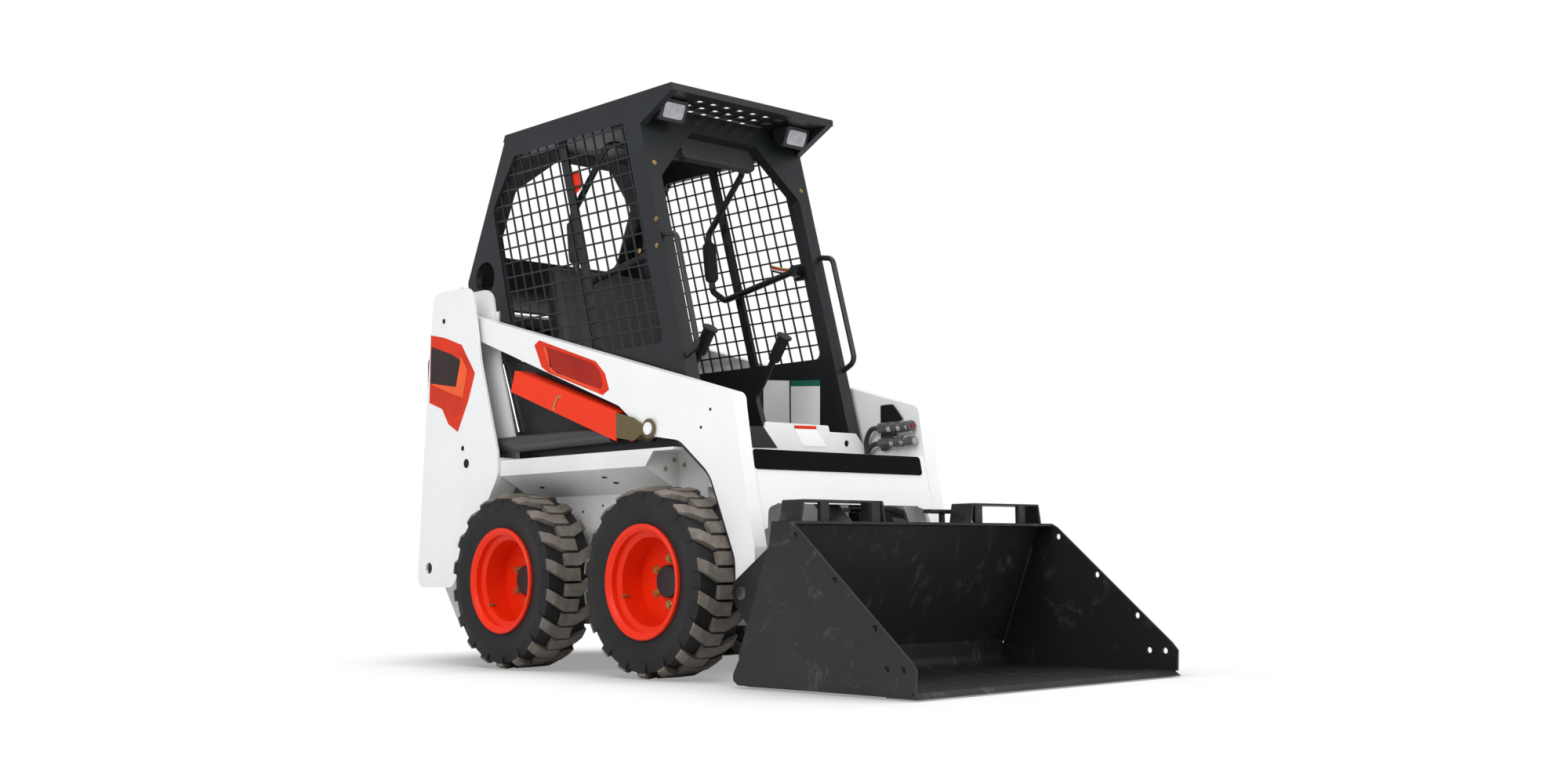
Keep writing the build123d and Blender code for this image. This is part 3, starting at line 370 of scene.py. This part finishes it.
def at(x, y, z):
    """A place in millimetres from the middle of the wheelbase, in the frame's metres."""
    return Vector(((x - MIDDLE) / 1000, y / 1000, z / 1000))


def keep(name, data, material, body):
    """Mesh data as a finished piece that rides on a body."""
    if material is not None:
        data.materials.clear()
        data.materials.append(material)
    piece = bpy.data.objects.new(name, data)
    bpy.context.scene.collection.objects.link(piece)
    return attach(piece, body)


def rounded(corners, radius, steps=5):
    """The corners of a flat outline, each cut round."""
    points = []
    for index, corner in enumerate(corners):
        before = (corners[index - 1] - corner).normalized()
        after = (corners[(index + 1) % len(corners)] - corner).normalized()
        half = before.angle(after) / 2
        centre = corner + (before + after).normalized() * radius / math.sin(half)
        start = (corner + before * radius / math.tan(half) - centre).normalized()
        end = (corner + after * radius / math.tan(half) - centre).normalized()
        points += [centre + radius * start.slerp(end, step / steps) for step in range(steps + 1)]
    return points


def plates(name, outlines, out, material, body):
    """Thin flat plates: outlines in the frame, all pushed out along one vector, as one piece."""
    mesh = bmesh.new()
    for outline in outlines:
        face = mesh.faces.new([mesh.verts.new(corner) for corner in outline])
        pushed = bmesh.ops.extrude_face_region(mesh, geom=[face])["geom"]
        moved = [item for item in pushed if isinstance(item, bmesh.types.BMVert)]
        bmesh.ops.translate(mesh, vec=out, verts=moved)
    bmesh.ops.recalc_face_normals(mesh, faces=mesh.faces)
    data = bpy.data.meshes.new(name)
    mesh.to_mesh(data)
    mesh.free()
    return keep(name, data, material, body)


def on_side(y, corners, radius=0):
    """An outline given in side view, (x, z) in millimetres, at one Y."""
    points = [at(x, y, z) for x, z in corners]
    return rounded(points, radius / 1000) if radius else points


print("the side view starts", MIDDLE, "mm behind the middle of the frame")

# %% [markdown]
# Two Geometry Nodes trees make what repeats or follows a line. The first stands a stud on every point it
# is given: with six sides it is a bolt head, with many it is a rib. The second turns a line into a pipe
# with round bends. Both end in real geometry with its material set, and the result is kept as one mesh.

# %% A Geometry Nodes tree for studs, and one for pipes
def new_tree(name, inputs):
    """A Geometry Nodes tree with a geometry socket and named inputs."""
    tree = bpy.data.node_groups.new(name, "GeometryNodeTree")
    tree.interface.new_socket(name="Geometry", in_out="INPUT", socket_type="NodeSocketGeometry")
    for label, kind, value in inputs:
        socket = tree.interface.new_socket(name=label, in_out="INPUT", socket_type=kind)
        if value is not None:
            socket.default_value = value
    tree.interface.new_socket(name="Geometry", in_out="OUTPUT", socket_type="NodeSocketGeometry")
    return tree, tree.nodes.new("NodeGroupInput"), tree.nodes.new("NodeGroupOutput")


def close_tree(tree, shape, tree_in, tree_out):
    """The end of every tree: real geometry with the material that was asked for."""
    real = add_node(tree, "GeometryNodeRealizeInstances")
    coat = add_node(tree, "GeometryNodeSetMaterial")
    tree.links.new(shape, real.inputs[0])
    tree.links.new(real.outputs[0], coat.inputs["Geometry"])
    tree.links.new(tree_in.outputs["Material"], coat.inputs["Material"])
    tree.links.new(coat.outputs[0], tree_out.inputs["Geometry"])


studs, studs_in, studs_out = new_tree("studs", [
    ("Direction", "NodeSocketVector", (0, 0, 1)), ("Sides", "NodeSocketInt", 6), ("Radius", FLOAT, 0.008),
    ("Height", FLOAT, 0.006), ("Washer", FLOAT, 1.0), ("Material", "NodeSocketMaterial", None),
])
head = add_node(studs, "GeometryNodeMeshCylinder")
washer = add_node(studs, "GeometryNodeMeshCylinder", Vertices=16)
washer_radius = add_node(studs, "ShaderNodeMath", operation="MULTIPLY")
washer_depth = add_node(studs, "ShaderNodeMath", operation="MULTIPLY")
washer_depth.inputs[1].default_value = 0.3
both = add_node(studs, "GeometryNodeJoinGeometry")
turn = add_node(studs, "FunctionNodeAlignRotationToVector", axis="Z")
stand = add_node(studs, "GeometryNodeInstanceOnPoints")
studs.links.new(studs_in.outputs["Sides"], head.inputs["Vertices"])
studs.links.new(studs_in.outputs["Radius"], head.inputs["Radius"])
studs.links.new(studs_in.outputs["Height"], head.inputs["Depth"])
studs.links.new(studs_in.outputs["Radius"], washer_radius.inputs[0])
studs.links.new(studs_in.outputs["Washer"], washer_radius.inputs[1])
studs.links.new(washer_radius.outputs[0], washer.inputs["Radius"])
studs.links.new(studs_in.outputs["Height"], washer_depth.inputs[0])
studs.links.new(washer_depth.outputs[0], washer.inputs["Depth"])
studs.links.new(head.outputs["Mesh"], both.inputs[0])
studs.links.new(washer.outputs["Mesh"], both.inputs[0])
studs.links.new(studs_in.outputs["Direction"], turn.inputs["Vector"])
studs.links.new(studs_in.outputs["Geometry"], stand.inputs["Points"])
studs.links.new(both.outputs[0], stand.inputs["Instance"])
studs.links.new(turn.outputs[0], stand.inputs["Rotation"])
close_tree(studs, stand.outputs[0], studs_in, studs_out)

pipe, pipe_in, pipe_out = new_tree("pipe", [
    ("Radius", FLOAT, 0.01), ("Bend", FLOAT, 0.05), ("Material", "NodeSocketMaterial", None),
])
line = add_node(pipe, "GeometryNodeMeshToCurve")
bend = add_node(pipe, "GeometryNodeFilletCurve", mode="POLY", Count=8)
bend.inputs["Limit Radius"].default_value = True
profile = add_node(pipe, "GeometryNodeCurvePrimitiveCircle", Resolution=12)
sweep = add_node(pipe, "GeometryNodeCurveToMesh")
smooth = add_node(pipe, "GeometryNodeSetShadeSmooth")
sweep.inputs["Fill Caps"].default_value = True
pipe.links.new(pipe_in.outputs["Geometry"], line.inputs["Mesh"])
pipe.links.new(line.outputs[0], bend.inputs["Curve"])
pipe.links.new(pipe_in.outputs["Bend"], bend.inputs["Radius"])
pipe.links.new(pipe_in.outputs["Radius"], profile.inputs["Radius"])
pipe.links.new(bend.outputs[0], sweep.inputs["Curve"])
pipe.links.new(profile.outputs[0], sweep.inputs["Profile Curve"])
pipe.links.new(sweep.outputs[0], smooth.inputs["Geometry"])
close_tree(pipe, smooth.outputs[0], pipe_in, pipe_out)
print("trees", studs.name, pipe.name)


# %% Running a tree
def grow(name, tree, points, values, material, body, lines=()):
    """Run a tree on points, or on lines between them, and keep what it makes as one mesh."""
    guide = bpy.data.meshes.new(name + "_guide")
    guide.from_pydata([tuple(point) for point in points], lines, [])
    source = bpy.data.objects.new(name + "_guide", guide)
    bpy.context.scene.collection.objects.link(source)
    modifier = source.modifiers.new("grow", "NODES")
    modifier.node_group = tree
    sockets = {item.name: item.identifier for item in tree.interface.items_tree if item.in_out == "INPUT"}
    for key, value in values.items():
        modifier[sockets[key]] = value
    modifier[sockets["Material"]] = material
    seen_by = bpy.context.evaluated_depsgraph_get()
    data = bpy.data.meshes.new_from_object(source.evaluated_get(seen_by), depsgraph=seen_by)
    data.name = name
    bpy.data.objects.remove(source)
    return keep(name, data, None, body)


def tube(name, paths, radius, bend, material, body):
    """Round pipes along lists of points, as one piece."""
    points, lines = [], []
    for path in paths:
        lines += [(len(points) + step, len(points) + step + 1) for step in range(len(path) - 1)]
        points += path
    return grow(name, pipe, points, {"Radius": radius / 1000, "Bend": bend / 1000}, material, body, lines)


def bolts(name, points, direction, radius, height, material, body, sides=6, washer=1.35):
    """Bolt heads at points, all facing one way, as one piece."""
    values = {"Direction": direction, "Sides": sides, "Radius": radius / 1000, "Height": 2 * height / 1000,
              "Washer": washer}
    return grow(name, studs, points, values, material, body)


# %% [markdown]
# Each wheel is held by six bolts, which stand on its disc round the hub. The hub's flange and the axle
# turn with the wheel, so the bolts ride on the wheel's body.

# %% Wheel bolts
for name in ("front_right", "front_left", "rear_right", "rear_left"):
    low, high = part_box("hub_" + name)
    centre = (low + high) / 2
    outside = -1 if "right" in name else 1
    disc = outside * (0.4375 - 0.022)
    ring = []
    for turn_count in range(6):
        angle = math.radians(30 + 60 * turn_count)
        ring.append(Vector((centre.x + 0.068 * math.cos(angle), disc, centre.z + 0.068 * math.sin(angle))))
    bolts("wheel_bolts_" + name, ring, (0, outside, 0), 10, 9, brass, "wheel_" + name)
    stem_angle = math.radians(199 if "front" in name else 218)
    stem = Vector((centre.x + 0.130 * math.cos(stem_angle), outside * 0.484,
                   centre.z + 0.130 * math.sin(stem_angle)))
    bolts("valve_stem_" + name, [stem], (0, outside, 0), 4.5, 13, brass, "wheel_" + name, sides=10)
print("24 wheel bolts and four valve stems")

# %% Bolts of the cab, the arms and the bucket
bolts("cab_bolts", [at(221, -350, 1312), at(136, -350, 1306), at(218, -350, 1396)], (0, -1, 0), 6, 3, brass,
      "root")
bolts("cab_bolts_left", [at(221, 350, 1312), at(136, 350, 1306), at(218, 350, 1396)], (0, 1, 0), 6, 3, brass,
      "root")
bolts("cab_front_bolts", [at(172, -320, 1586), at(172, 320, 1586)], (0.963, 0, 0.268), 6, 3, brass, "root")
bolts("tower_bolts", [at(-842, -440, 1179), at(-715, -440, 728)], (0, -1, 0), 10, 2, white_paint, "root",
      washer=2.1)
bolts("tower_bolts_left", [at(-842, 440, 1179), at(-715, 440, 728)], (0, 1, 0), 10, 2, white_paint, "root",
      washer=2.1)
for side_name, sign in (("right", -1), ("left", 1)):
    bolts("fender_bolts_" + side_name, [at(263, sign * 316, 648), at(263, sign * 351, 619)], (1, 0, 0), 6, 3,
          zinc, "root")
    bolts("hull_bolt_" + side_name, [at(291, sign * 300, 631)], (0, sign, 0), 6, 3, zinc, "root")

bolts("prop_pin", [at(268, -423, 742)], (0, -1, 0), 9, 5, hub_paint, "arm_prop", sides=20)

# %% Weld beads in the bucket's back corners
beads = [[at(826, sign * 552, 84), at(838, sign * 552, 114), at(943, sign * 552, 374)] for sign in (-1, 1)]
tube("bucket_beads", beads, 7, 25, bucket_paint, "bucket")

# %% Small holes and slots, drawn as black discs and slots whose dark is painted shade inside them
def disc_outline(x, y, z, radius, sides=14):
    """A small round outline in side view."""
    angles = [2 * math.pi * step / sides for step in range(sides)]
    return [at(x + radius * math.cos(angle), y, z + radius * math.sin(angle)) for angle in angles]


for side_name, sign in (("right", -1), ("left", 1)):
    spots = [(546, 778), (504, 728), (694, 243), (671, 231), (720, 217)]
    plates("arm_holes_" + side_name, [disc_outline(x, sign * 416, z, 5) for x, z in spots],
           (0, sign * 0.0004, 0), painted_hole_shade, "lift_arm")
    plates("tower_holes_" + side_name,
           [disc_outline(-695, sign * 440, 675, 16), disc_outline(-842, sign * 442.2, 1179, 9),
            disc_outline(-715, sign * 442.2, 728, 9)], (0, sign * 0.0006, 0), painted_hole_shade, "root")
    down = Vector((0, sign * 0.49, -0.87))
    outwards = Vector((0, sign * 0.87, 0.49))
    middles = [at(x, sign * y, z) for x, y, z in ((-369, 356, 584), (8, 388, 602), (28, 358, 585))]
    plates("fender_slots_" + side_name,
           [rounded([middle + outwards * (0.0055 * v) + Vector((0.013 * u, 0, 0))
                     for u, v in ((-1, -1), (1, -1), (1, 1), (-1, 1))], 0.005) for middle in middles],
           down * 0.0006, painted_hole_shade, "root")
    plates("hull_holes_" + side_name,
           [disc_outline(x, sign * 300, z, 4.5) for x, z in ((-220, 501), (-115, 518))],
           (0, sign * 0.0005, 0), painted_hole_shade, "root")

# %% [markdown]
# Signs and stickers are blank: they keep their place, outline and colour and carry no words or marks.
# The two orange panels on the near side are the machine's most visible colour after its wheels.

# %% Blank signs and coloured panels
TOWER_PANEL = [(-928, 1138), (-841, 1121), (-731, 1086), (-647, 981), (-686, 890), (-750, 786), (-810, 817),
               (-849, 871), (-933, 899)]
TOWER_DARK = [(-924, 1097), (-791, 1058), (-737, 1032), (-762, 943), (-927, 968)]
TOWER_LIGHT = [(-737, 1047), (-694, 996), (-719, 903), (-778, 917), (-904, 957), (-921, 966), (-762, 942)]
ARM_PANEL = [(-306, 1062), (-333, 1049), (-292, 973), (-253, 951), (35, 857), (67, 872), (47, 923), (-1, 966)]
ARM_DARK = [(-265, 1037), (-17, 962), (14, 941), (36, 893), (23, 878), (-208, 946), (-245, 971)]
ARM_LINE = [(-282, 1037), (-272, 1036), (-230, 956), (18, 871), (17, 867), (-238, 953)]
for side_name, sign in (("right", -1), ("left", 1)):
    thin = Vector((0, sign * 0.0008, 0))
    for label, outline, lift_off, material in (
        ("tower_panel_", TOWER_PANEL, 440, sign_orange), ("tower_panel_dark_", TOWER_DARK, 440.8, sign_dark),
        ("tower_panel_light_", TOWER_LIGHT, 440.8, sign_light),
    ):
        plates(label + side_name, [on_side(sign * lift_off, outline)], thin, material, "root")
    for label, outline, lift_off, material in (
        ("arm_panel_", ARM_PANEL, 416, sign_orange), ("arm_panel_dark_", ARM_DARK, 416.8, sign_deep),
        ("arm_panel_line_", ARM_LINE, 416.8, sign_light),
    ):
        plates(label + side_name, [on_side(sign * lift_off, outline)], thin, material, "lift_arm")

white_signs = [
    on_side(325.8, [(-29, 794), (100, 784), (100, 945), (-29, 957)]),
    on_side(325.8, [(108, 784), (246, 778), (248, 915), (108, 925)]),
]
plates("inside_signs", white_signs, (0, -0.0008, 0), sign_white, "root")
plates("inside_sign_head", [on_side(325.8, [(108, 927), (248, 917), (248, 935), (108, 944)])],
       (0, -0.0008, 0), sign_green, "root")
for label, outline, material in (
    ("kick_sign", ((67, 696), (174, 697), (126, 750), (30, 748)), sign_white),
    ("kick_sign_head", ((30, 749), (126, 751), (126, 761), (30, 759)), sign_orange),
    ("kick_pad", ((-170, 682), (-42, 685), (-103, 750), (-178, 748)), cab_paint),
):
    plates(label, [[at(431.1, y, z) for y, z in outline]], (0.0012, 0, 0), material, "root")
plates("window_sign", [on_side(-338, [(-250, 1608), (-232, 1624), (-196, 1614), (-182, 1596), (-186, 1560),
                                      (-214, 1545), (-240, 1566)])], (0, 0.001, 0), sign_orange, "root")
print("blank signs on the towers, the arms, the kick panel, the far side and the window")

# %% [markdown]
# A strip of rough black tape on the arms' cross box is the step into the cab, and black rubber trim runs
# along the arch of each leg.

# %% Step strip and edge trim
corners = [at(677.8, -364, 601), at(677.8, 347, 601), at(666.2, 347, 659), at(666.2, -364, 659)]
normal = (corners[1] - corners[0]).cross(corners[3] - corners[0]).normalized()
shifted = [corner + normal * 0.001 for corner in corners]
plates("step_strip", [rounded(shifted, 0.012)], normal * 0.0018, tape, "lift_arm")
for side_name, sign in (("right", -1), ("left", 1)):
    arch = [at(x, sign * 413, z) for x, z in ((404, 690), (540, 589), (648, 345), (650, 262))]
    tube("leg_trim_" + side_name, [arch], 4.5, 110, trim_rubber, "lift_arm")

# %% Strut, guard and small fittings behind the arms
for side_name, sign in (("right", -1), ("left", 1)):
    strut = [at(-600, sign * 356, 1010), at(-504, sign * 356, 774)]
    tube("cab_strut_" + side_name, [strut], 6, 0, chrome, "root")
    plates("strut_bracket_" + side_name,
           [on_side(sign * 353, [(-645, 779), (-585, 779), (-600, 881), (-640, 872)], 6)],
           (0, sign * 0.004, 0), white_paint, "root")
clip = [at(-165, -420, 872), at(-188, -427, 866), at(-213, -427, 832), at(-204, -420, 822)]
tube("prop_clip", [clip], 4, 10,
     brass, "arm_prop")
low_lamp = bpy.data.meshes.new("tower_beacon")
dome = bmesh.new()
bmesh.ops.create_uvsphere(dome, u_segments=24, v_segments=12, radius=0.013)
bmesh.ops.translate(dome, vec=at(-792, -400, 1283), verts=dome.verts)
dome.to_mesh(low_lamp)
dome.free()
keep("tower_beacon", low_lamp, red_lens, "root")

wire_paints = (sign_yellow, red_lens, sign_white, hose_rubber)
for number, material in enumerate(wire_paints):
    drop = 5.5 * number
    wire = [at(26, 318, 1346 - drop), at(78, 318, 1331 - drop), at(140, 319, 1320 - drop)]
    tube(f"bar_wire_{number}", [wire], 3, 20, material, "root")

# %% [markdown]
# The lamps under the roof have ribbed lenses that face forwards and down, and the drive levers have
# ribbed rubber grips.

# %% Lamp lenses and lever grips
lamp_top = Vector(((217 - MIDDLE) / 1000, 0, 1.7875))
lamp_foot = Vector(((188 - MIDDLE) / 1000, 0, 1.7225))
slope = (lamp_foot - lamp_top).normalized()
outward = Vector((-slope.z, 0, slope.x))
if outward.x < 0:
    outward = -outward
lenses, frames = [], []
for sign in (-1, 1):
    middle = (lamp_top + lamp_foot) / 2 + Vector((0, sign * 0.268, 0))
    across = Vector((0, 1, 0))
    for half_wide, half_tall, shapes in ((0.052, 0.035, frames), (0.040, 0.0245, lenses)):
        shapes.append(rounded([
            middle - across * half_wide - slope * half_tall, middle + across * half_wide - slope * half_tall,
            middle + across * half_wide + slope * half_tall, middle - across * half_wide + slope * half_tall,
        ], 0.008))
plates("lamp_frames", frames, outward * 0.003, trim_rubber, "root")
on_frames = [[point + outward * 0.003 for point in shape] for shape in lenses]
plates("lamp_lenses", on_frames, outward * 0.0015, lens, "root")
grip_ribs = []
for sign in (-1, 1):
    foot, top = at(200, sign * 160, 993), at(251, sign * 160, 1065)
    grip_ribs += [foot.lerp(top, step / 11) for step in range(1, 11)]
bolts("grip_ribs", grip_ribs, at(251, 0, 1065) - at(200, 0, 993), 20.5, 1.6, trim_rubber, "root", sides=24,
      washer=0.98)

# %% [markdown]
# The couplers are steel bodies on a black bracket, each with two knurled rings.

# %% Rings of the couplers
bolts("coupler_rings", [at(x, 347, 760) for x in (548, 556, 590, 598, 628)]
      + [at(x, 347, 712) for x in (560, 568, 604, 612)], (1, 0, 0), 19.5, 3, chrome, "lift_arm", sides=24,
      washer=0.9)
bolts("coupler_cap", [at(640, 347, 760)], (1, 0, 0), 9, 3, dark_red, "lift_arm", sides=20, washer=1.1)
bolts("coupler_end", [at(648, 347, 712)], (1, 0, 0), 7, 2, chrome, "lift_arm", sides=20, washer=1.6)

# %% [markdown]
# Two hoses run from the couplers back to the arm, each a pipe along a smooth line with both ends on the arm.

# %% Hoses
def smooth_path(points, steps=10):
    """Points of a smooth line through the given ones."""
    ends = [2 * points[0] - points[1]] + points + [2 * points[-1] - points[-2]]
    made = []
    for index in range(1, len(ends) - 2):
        a, b, c, d = ends[index - 1:index + 3]
        for step in range(steps):
            t = step / steps
            made.append(0.5 * (2 * b + (c - a) * t + (2 * a - 5 * b + 4 * c - d) * t ** 2
                               + (3 * b - a - 3 * c + d) * t ** 3))
    return made + [points[-1]]


for number, places in enumerate((
    [(500, 346, 760), (462, 346, 757), (438, 348, 725), (436, 352, 688), (440, 362, 655)],
    [(500, 346, 712), (468, 346, 707), (444, 349, 690), (430, 354, 668), (432, 362, 642)],
)):
    path = smooth_path([at(*place) for place in places])
    hose = tube(f"coupler_hose_{number}", [path], 8, 0, hose_rubber, "lift_arm")
print("two hoses")

# %% [markdown]
# The seat and the pad over the door are covered in black vinyl over foam. Each cover starts as the CAD
# cushion's own shape, cut into an even grid, and a short cloth simulation blows it up while its seams,
# its sides and its base are held, so that it bulges between the seams as upholstery does.

# %% Upholstery
def upholster(node, grid, seams, press, body="root"):
    """A CAD cushion as a sewn cover, held where seams() says so and blown up by a cloth simulation."""
    cover = bpy.data.objects.new(node + "_cover", nodes[node].data.copy())
    bpy.context.scene.collection.objects.link(cover)
    welded = bmesh.new()
    welded.from_mesh(cover.data)
    bmesh.ops.remove_doubles(welded, verts=welded.verts, dist=0.00001)
    welded.to_mesh(cover.data)
    welded.free()
    even = cover.modifiers.new("even", "REMESH")
    even.mode = "VOXEL"
    even.voxel_size = grid
    seen_by = bpy.context.evaluated_depsgraph_get()
    start = bpy.data.meshes.new_from_object(cover.evaluated_get(seen_by), depsgraph=seen_by)
    cover.modifiers.clear()
    cover.data = start
    held = cover.vertex_groups.new(name="held")
    held.add([point.index for point in start.vertices if seams(point.co)], 1.0, "REPLACE")
    cloth = cover.modifiers.new("cloth", "CLOTH")
    cloth.settings.vertex_group_mass = "held"
    cloth.settings.mass = 0.3
    cloth.settings.quality = 4
    cloth.settings.tension_stiffness = 25
    cloth.settings.compression_stiffness = 25
    cloth.settings.bending_stiffness = 1.5
    cloth.settings.use_pressure = True
    cloth.settings.uniform_pressure_force = press
    cloth.settings.effector_weights.gravity = 0
    for moment in range(1, 21):
        bpy.context.scene.frame_set(moment)
    seen_by = bpy.context.evaluated_depsgraph_get()
    sewn = bpy.data.meshes.new_from_object(cover.evaluated_get(seen_by), depsgraph=seen_by)
    bpy.context.scene.frame_set(1)
    bpy.data.objects.remove(cover)
    sewn.shade_smooth()
    piece = keep(node + "_cover", sewn, seat_cloth, body)
    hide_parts(node)
    print(piece.name, len(sewn.vertices), "points")


def seat_seams(point):
    """The seat's base, sides and back, its crease, and the seams across and along it."""
    x, y, z = point.x * 1000 + MIDDLE, abs(point.y) * 1000, point.z * 1000
    back_face = x < -482 - (z - 780) * 40 / 570
    crease = abs(x + 425) < 9 and z < 900
    across = z < 880 and min(abs(x + 195), abs(x + 310)) < 5.5
    rows = z > 900 and min(abs(z - 1020), abs(z - 1190)) < 5.5
    return z < 789 or y > 224 or back_face or crease or across or rows or abs(y - 148) < 5.5


def pad_seams(point):
    """The head pad's ends and the seam round its middle."""
    x, y, z = point.x * 1000 + MIDDLE, abs(point.y) * 1000, point.z * 1000
    across = x * 0.9635 + z * 0.268 - pad_middle
    return y > 153 or abs(across) < 3.5 or abs(y - 50) < 2.5


low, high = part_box("head_pad")
pad_centre = (low + high) / 2
pad_middle = (pad_centre.x * 1000 + MIDDLE) * 0.9635 + pad_centre.z * 1000 * 0.268
upholster("seat", 0.011, seat_seams, 3.0)
upholster("head_pad", 0.005, pad_seams, 4.0)

# %% Foam sleeves on the lap bar
for side_name, sign in (("right", -1), ("left", 1)):
    foot, top = at(-264, sign * 298, 1322), at(-283, sign * 298, 1470)
    along = (top - foot).normalized()
    beside = Vector((0, 1, 0))
    out = along.cross(beside)
    sleeve = bmesh.new()
    rings = []
    for ring in range(15):
        share = ring / 14
        girth = 0.0115 + 0.0125 * (1 - abs(2 * share - 1) ** 7) ** (1 / 3)
        centre = foot.lerp(top, share)
        rings.append([
            sleeve.verts.new(centre + girth * (math.cos(math.pi * step / 12) * beside
                                               + math.sin(math.pi * step / 12) * out))
            for step in range(24)
        ])
    for lower, upper in zip(rings, rings[1:]):
        for step in range(24):
            sleeve.faces.new([lower[step], lower[step - 23], upper[step - 23], upper[step]])
    sleeve.faces.new(rings[0])
    sleeve.faces.new(rings[-1])
    bmesh.ops.recalc_face_normals(sleeve, faces=sleeve.faces)
    sleeve_mesh = bpy.data.meshes.new("bar_sleeve_" + side_name)
    sleeve.to_mesh(sleeve_mesh)
    sleeve.free()
    sleeve_mesh.shade_smooth()
    keep("bar_sleeve_" + side_name, sleeve_mesh, foam, "seat_bar")

# %% [markdown]
# The floor and the world are plain and pale. A photograph of a product on white shows pure white behind
# it, so camera rays see white while the object is lit by a softer grey sky and lamps. Near the object the
# floor is a little darker, which stands for its contact shadow.

# %% Floor and world
bpy.ops.mesh.primitive_plane_add(size=60)
floor = bpy.context.object
floor.name = "floor"
floor_material = bpy.data.materials.new("pale_floor")
floor_material.use_nodes = True
tree = floor_material.node_tree
floor_shader = tree.nodes["Principled BSDF"]
floor_shader.inputs["Base Color"].default_value = (0.8, 0.8, 0.8, 1)
floor_shader.inputs["Roughness"].default_value = 0.9
near = add_node(tree, "ShaderNodeAmbientOcclusion", Distance=0.45, samples=8)
shade = add_node(tree, "ShaderNodeMapRange")
shade.inputs["From Min"].default_value = 0.35
shade.inputs["From Max"].default_value = 0.95
shade.inputs["To Min"].default_value = 0.32
tree.links.new(near.outputs["AO"], shade.inputs["Value"])
plain = add_node(tree, "ShaderNodeEmission", Color=(1, 1, 1, 1))
tree.links.new(shade.outputs["Result"], plain.inputs["Strength"])
ray = add_node(tree, "ShaderNodeLightPath")
either = add_node(tree, "ShaderNodeMixShader")
tree.links.new(ray.outputs["Is Camera Ray"], either.inputs[0])
tree.links.new(floor_shader.outputs[0], either.inputs[1])
tree.links.new(plain.outputs[0], either.inputs[2])
tree.links.new(either.outputs[0], tree.nodes["Material Output"].inputs["Surface"])
floor.data.materials.append(floor_material)

world = bpy.data.worlds.new("studio")
bpy.context.scene.world = world
world.use_nodes = True
tree = world.node_tree
sky = tree.nodes["Background"]
sky.inputs["Color"].default_value = (0.93, 0.95, 1.0, 1)
sky.inputs["Strength"].default_value = 0.6
white = add_node(tree, "ShaderNodeBackground", Color=(1, 1, 1, 1), Strength=1.0)
path = add_node(tree, "ShaderNodeLightPath")
seen = add_node(tree, "ShaderNodeMath", operation="MAXIMUM")
tree.links.new(path.outputs["Is Camera Ray"], seen.inputs[0])
tree.links.new(path.outputs["Is Transmission Ray"], seen.inputs[1])
choose = add_node(tree, "ShaderNodeMixShader")
tree.links.new(seen.outputs[0], choose.inputs[0])
tree.links.new(sky.outputs[0], choose.inputs[1])
tree.links.new(white.outputs[0], choose.inputs[2])
tree.links.new(choose.outputs[0], tree.nodes["World Output"].inputs["Surface"])

# %% Soft lamps
def softbox(name, place, aim, size, power):
    """A square area lamp that looks at a point."""
    light = bpy.data.lights.new(name, "AREA")
    light.size = size
    light.energy = power
    lamp = bpy.data.objects.new(name, light)
    lamp.location = place
    lamp.rotation_euler = (Vector(aim) - Vector(place)).to_track_quat("-Z", "Y").to_euler()
    bpy.context.scene.collection.objects.link(lamp)


softbox("key_right", (2.0, -5.0, 4.5), (0, 0, 0.7), 4.0, 235)
softbox("fill_front", (5.5, 1.0, 3.0), (0, 0, 0.7), 4.0, 165)
softbox("top", (-0.5, 0.0, 5.5), (0, 0, 0.8), 4.0, 160)

# %% [markdown]
# The photograph was taken from the front right corner, low down and looking slightly up. The camera's
# place, direction, roll and focal length were worked out from the machine's known sizes.

# %% Camera
CAMERA_PLACE = (4.0943, -3.6538, 0.3535)
AZIMUTH = 46.58
ELEVATION = -5.418
ROLL = -0.455
FOCAL = 39.25
SENSOR = 36.0
OFF_CENTRE = 2.1 / 2000

turn, rise = math.radians(AZIMUTH), math.radians(ELEVATION)
forward = Vector((-math.sin(turn) * math.cos(rise), math.cos(turn) * math.cos(rise), -math.sin(rise)))
right = forward.cross(Vector((0, 0, 1))).normalized()
up = right.cross(forward)
tilt = math.radians(ROLL)
camera_right = math.cos(tilt) * right + math.sin(tilt) * up
camera_up = math.cos(tilt) * up - math.sin(tilt) * right
camera_data = bpy.data.cameras.new("camera")
camera_data.lens = FOCAL
camera_data.sensor_width = SENSOR
camera_data.shift_y = OFF_CENTRE
camera = bpy.data.objects.new("camera", camera_data)
axes = Matrix((camera_right, camera_up, -forward)).transposed()
camera.matrix_world = Matrix.Translation(CAMERA_PLACE) @ axes.to_4x4()
bpy.context.scene.collection.objects.link(camera)
bpy.context.scene.camera = camera
bpy.context.scene.view_settings.view_transform = "Standard"
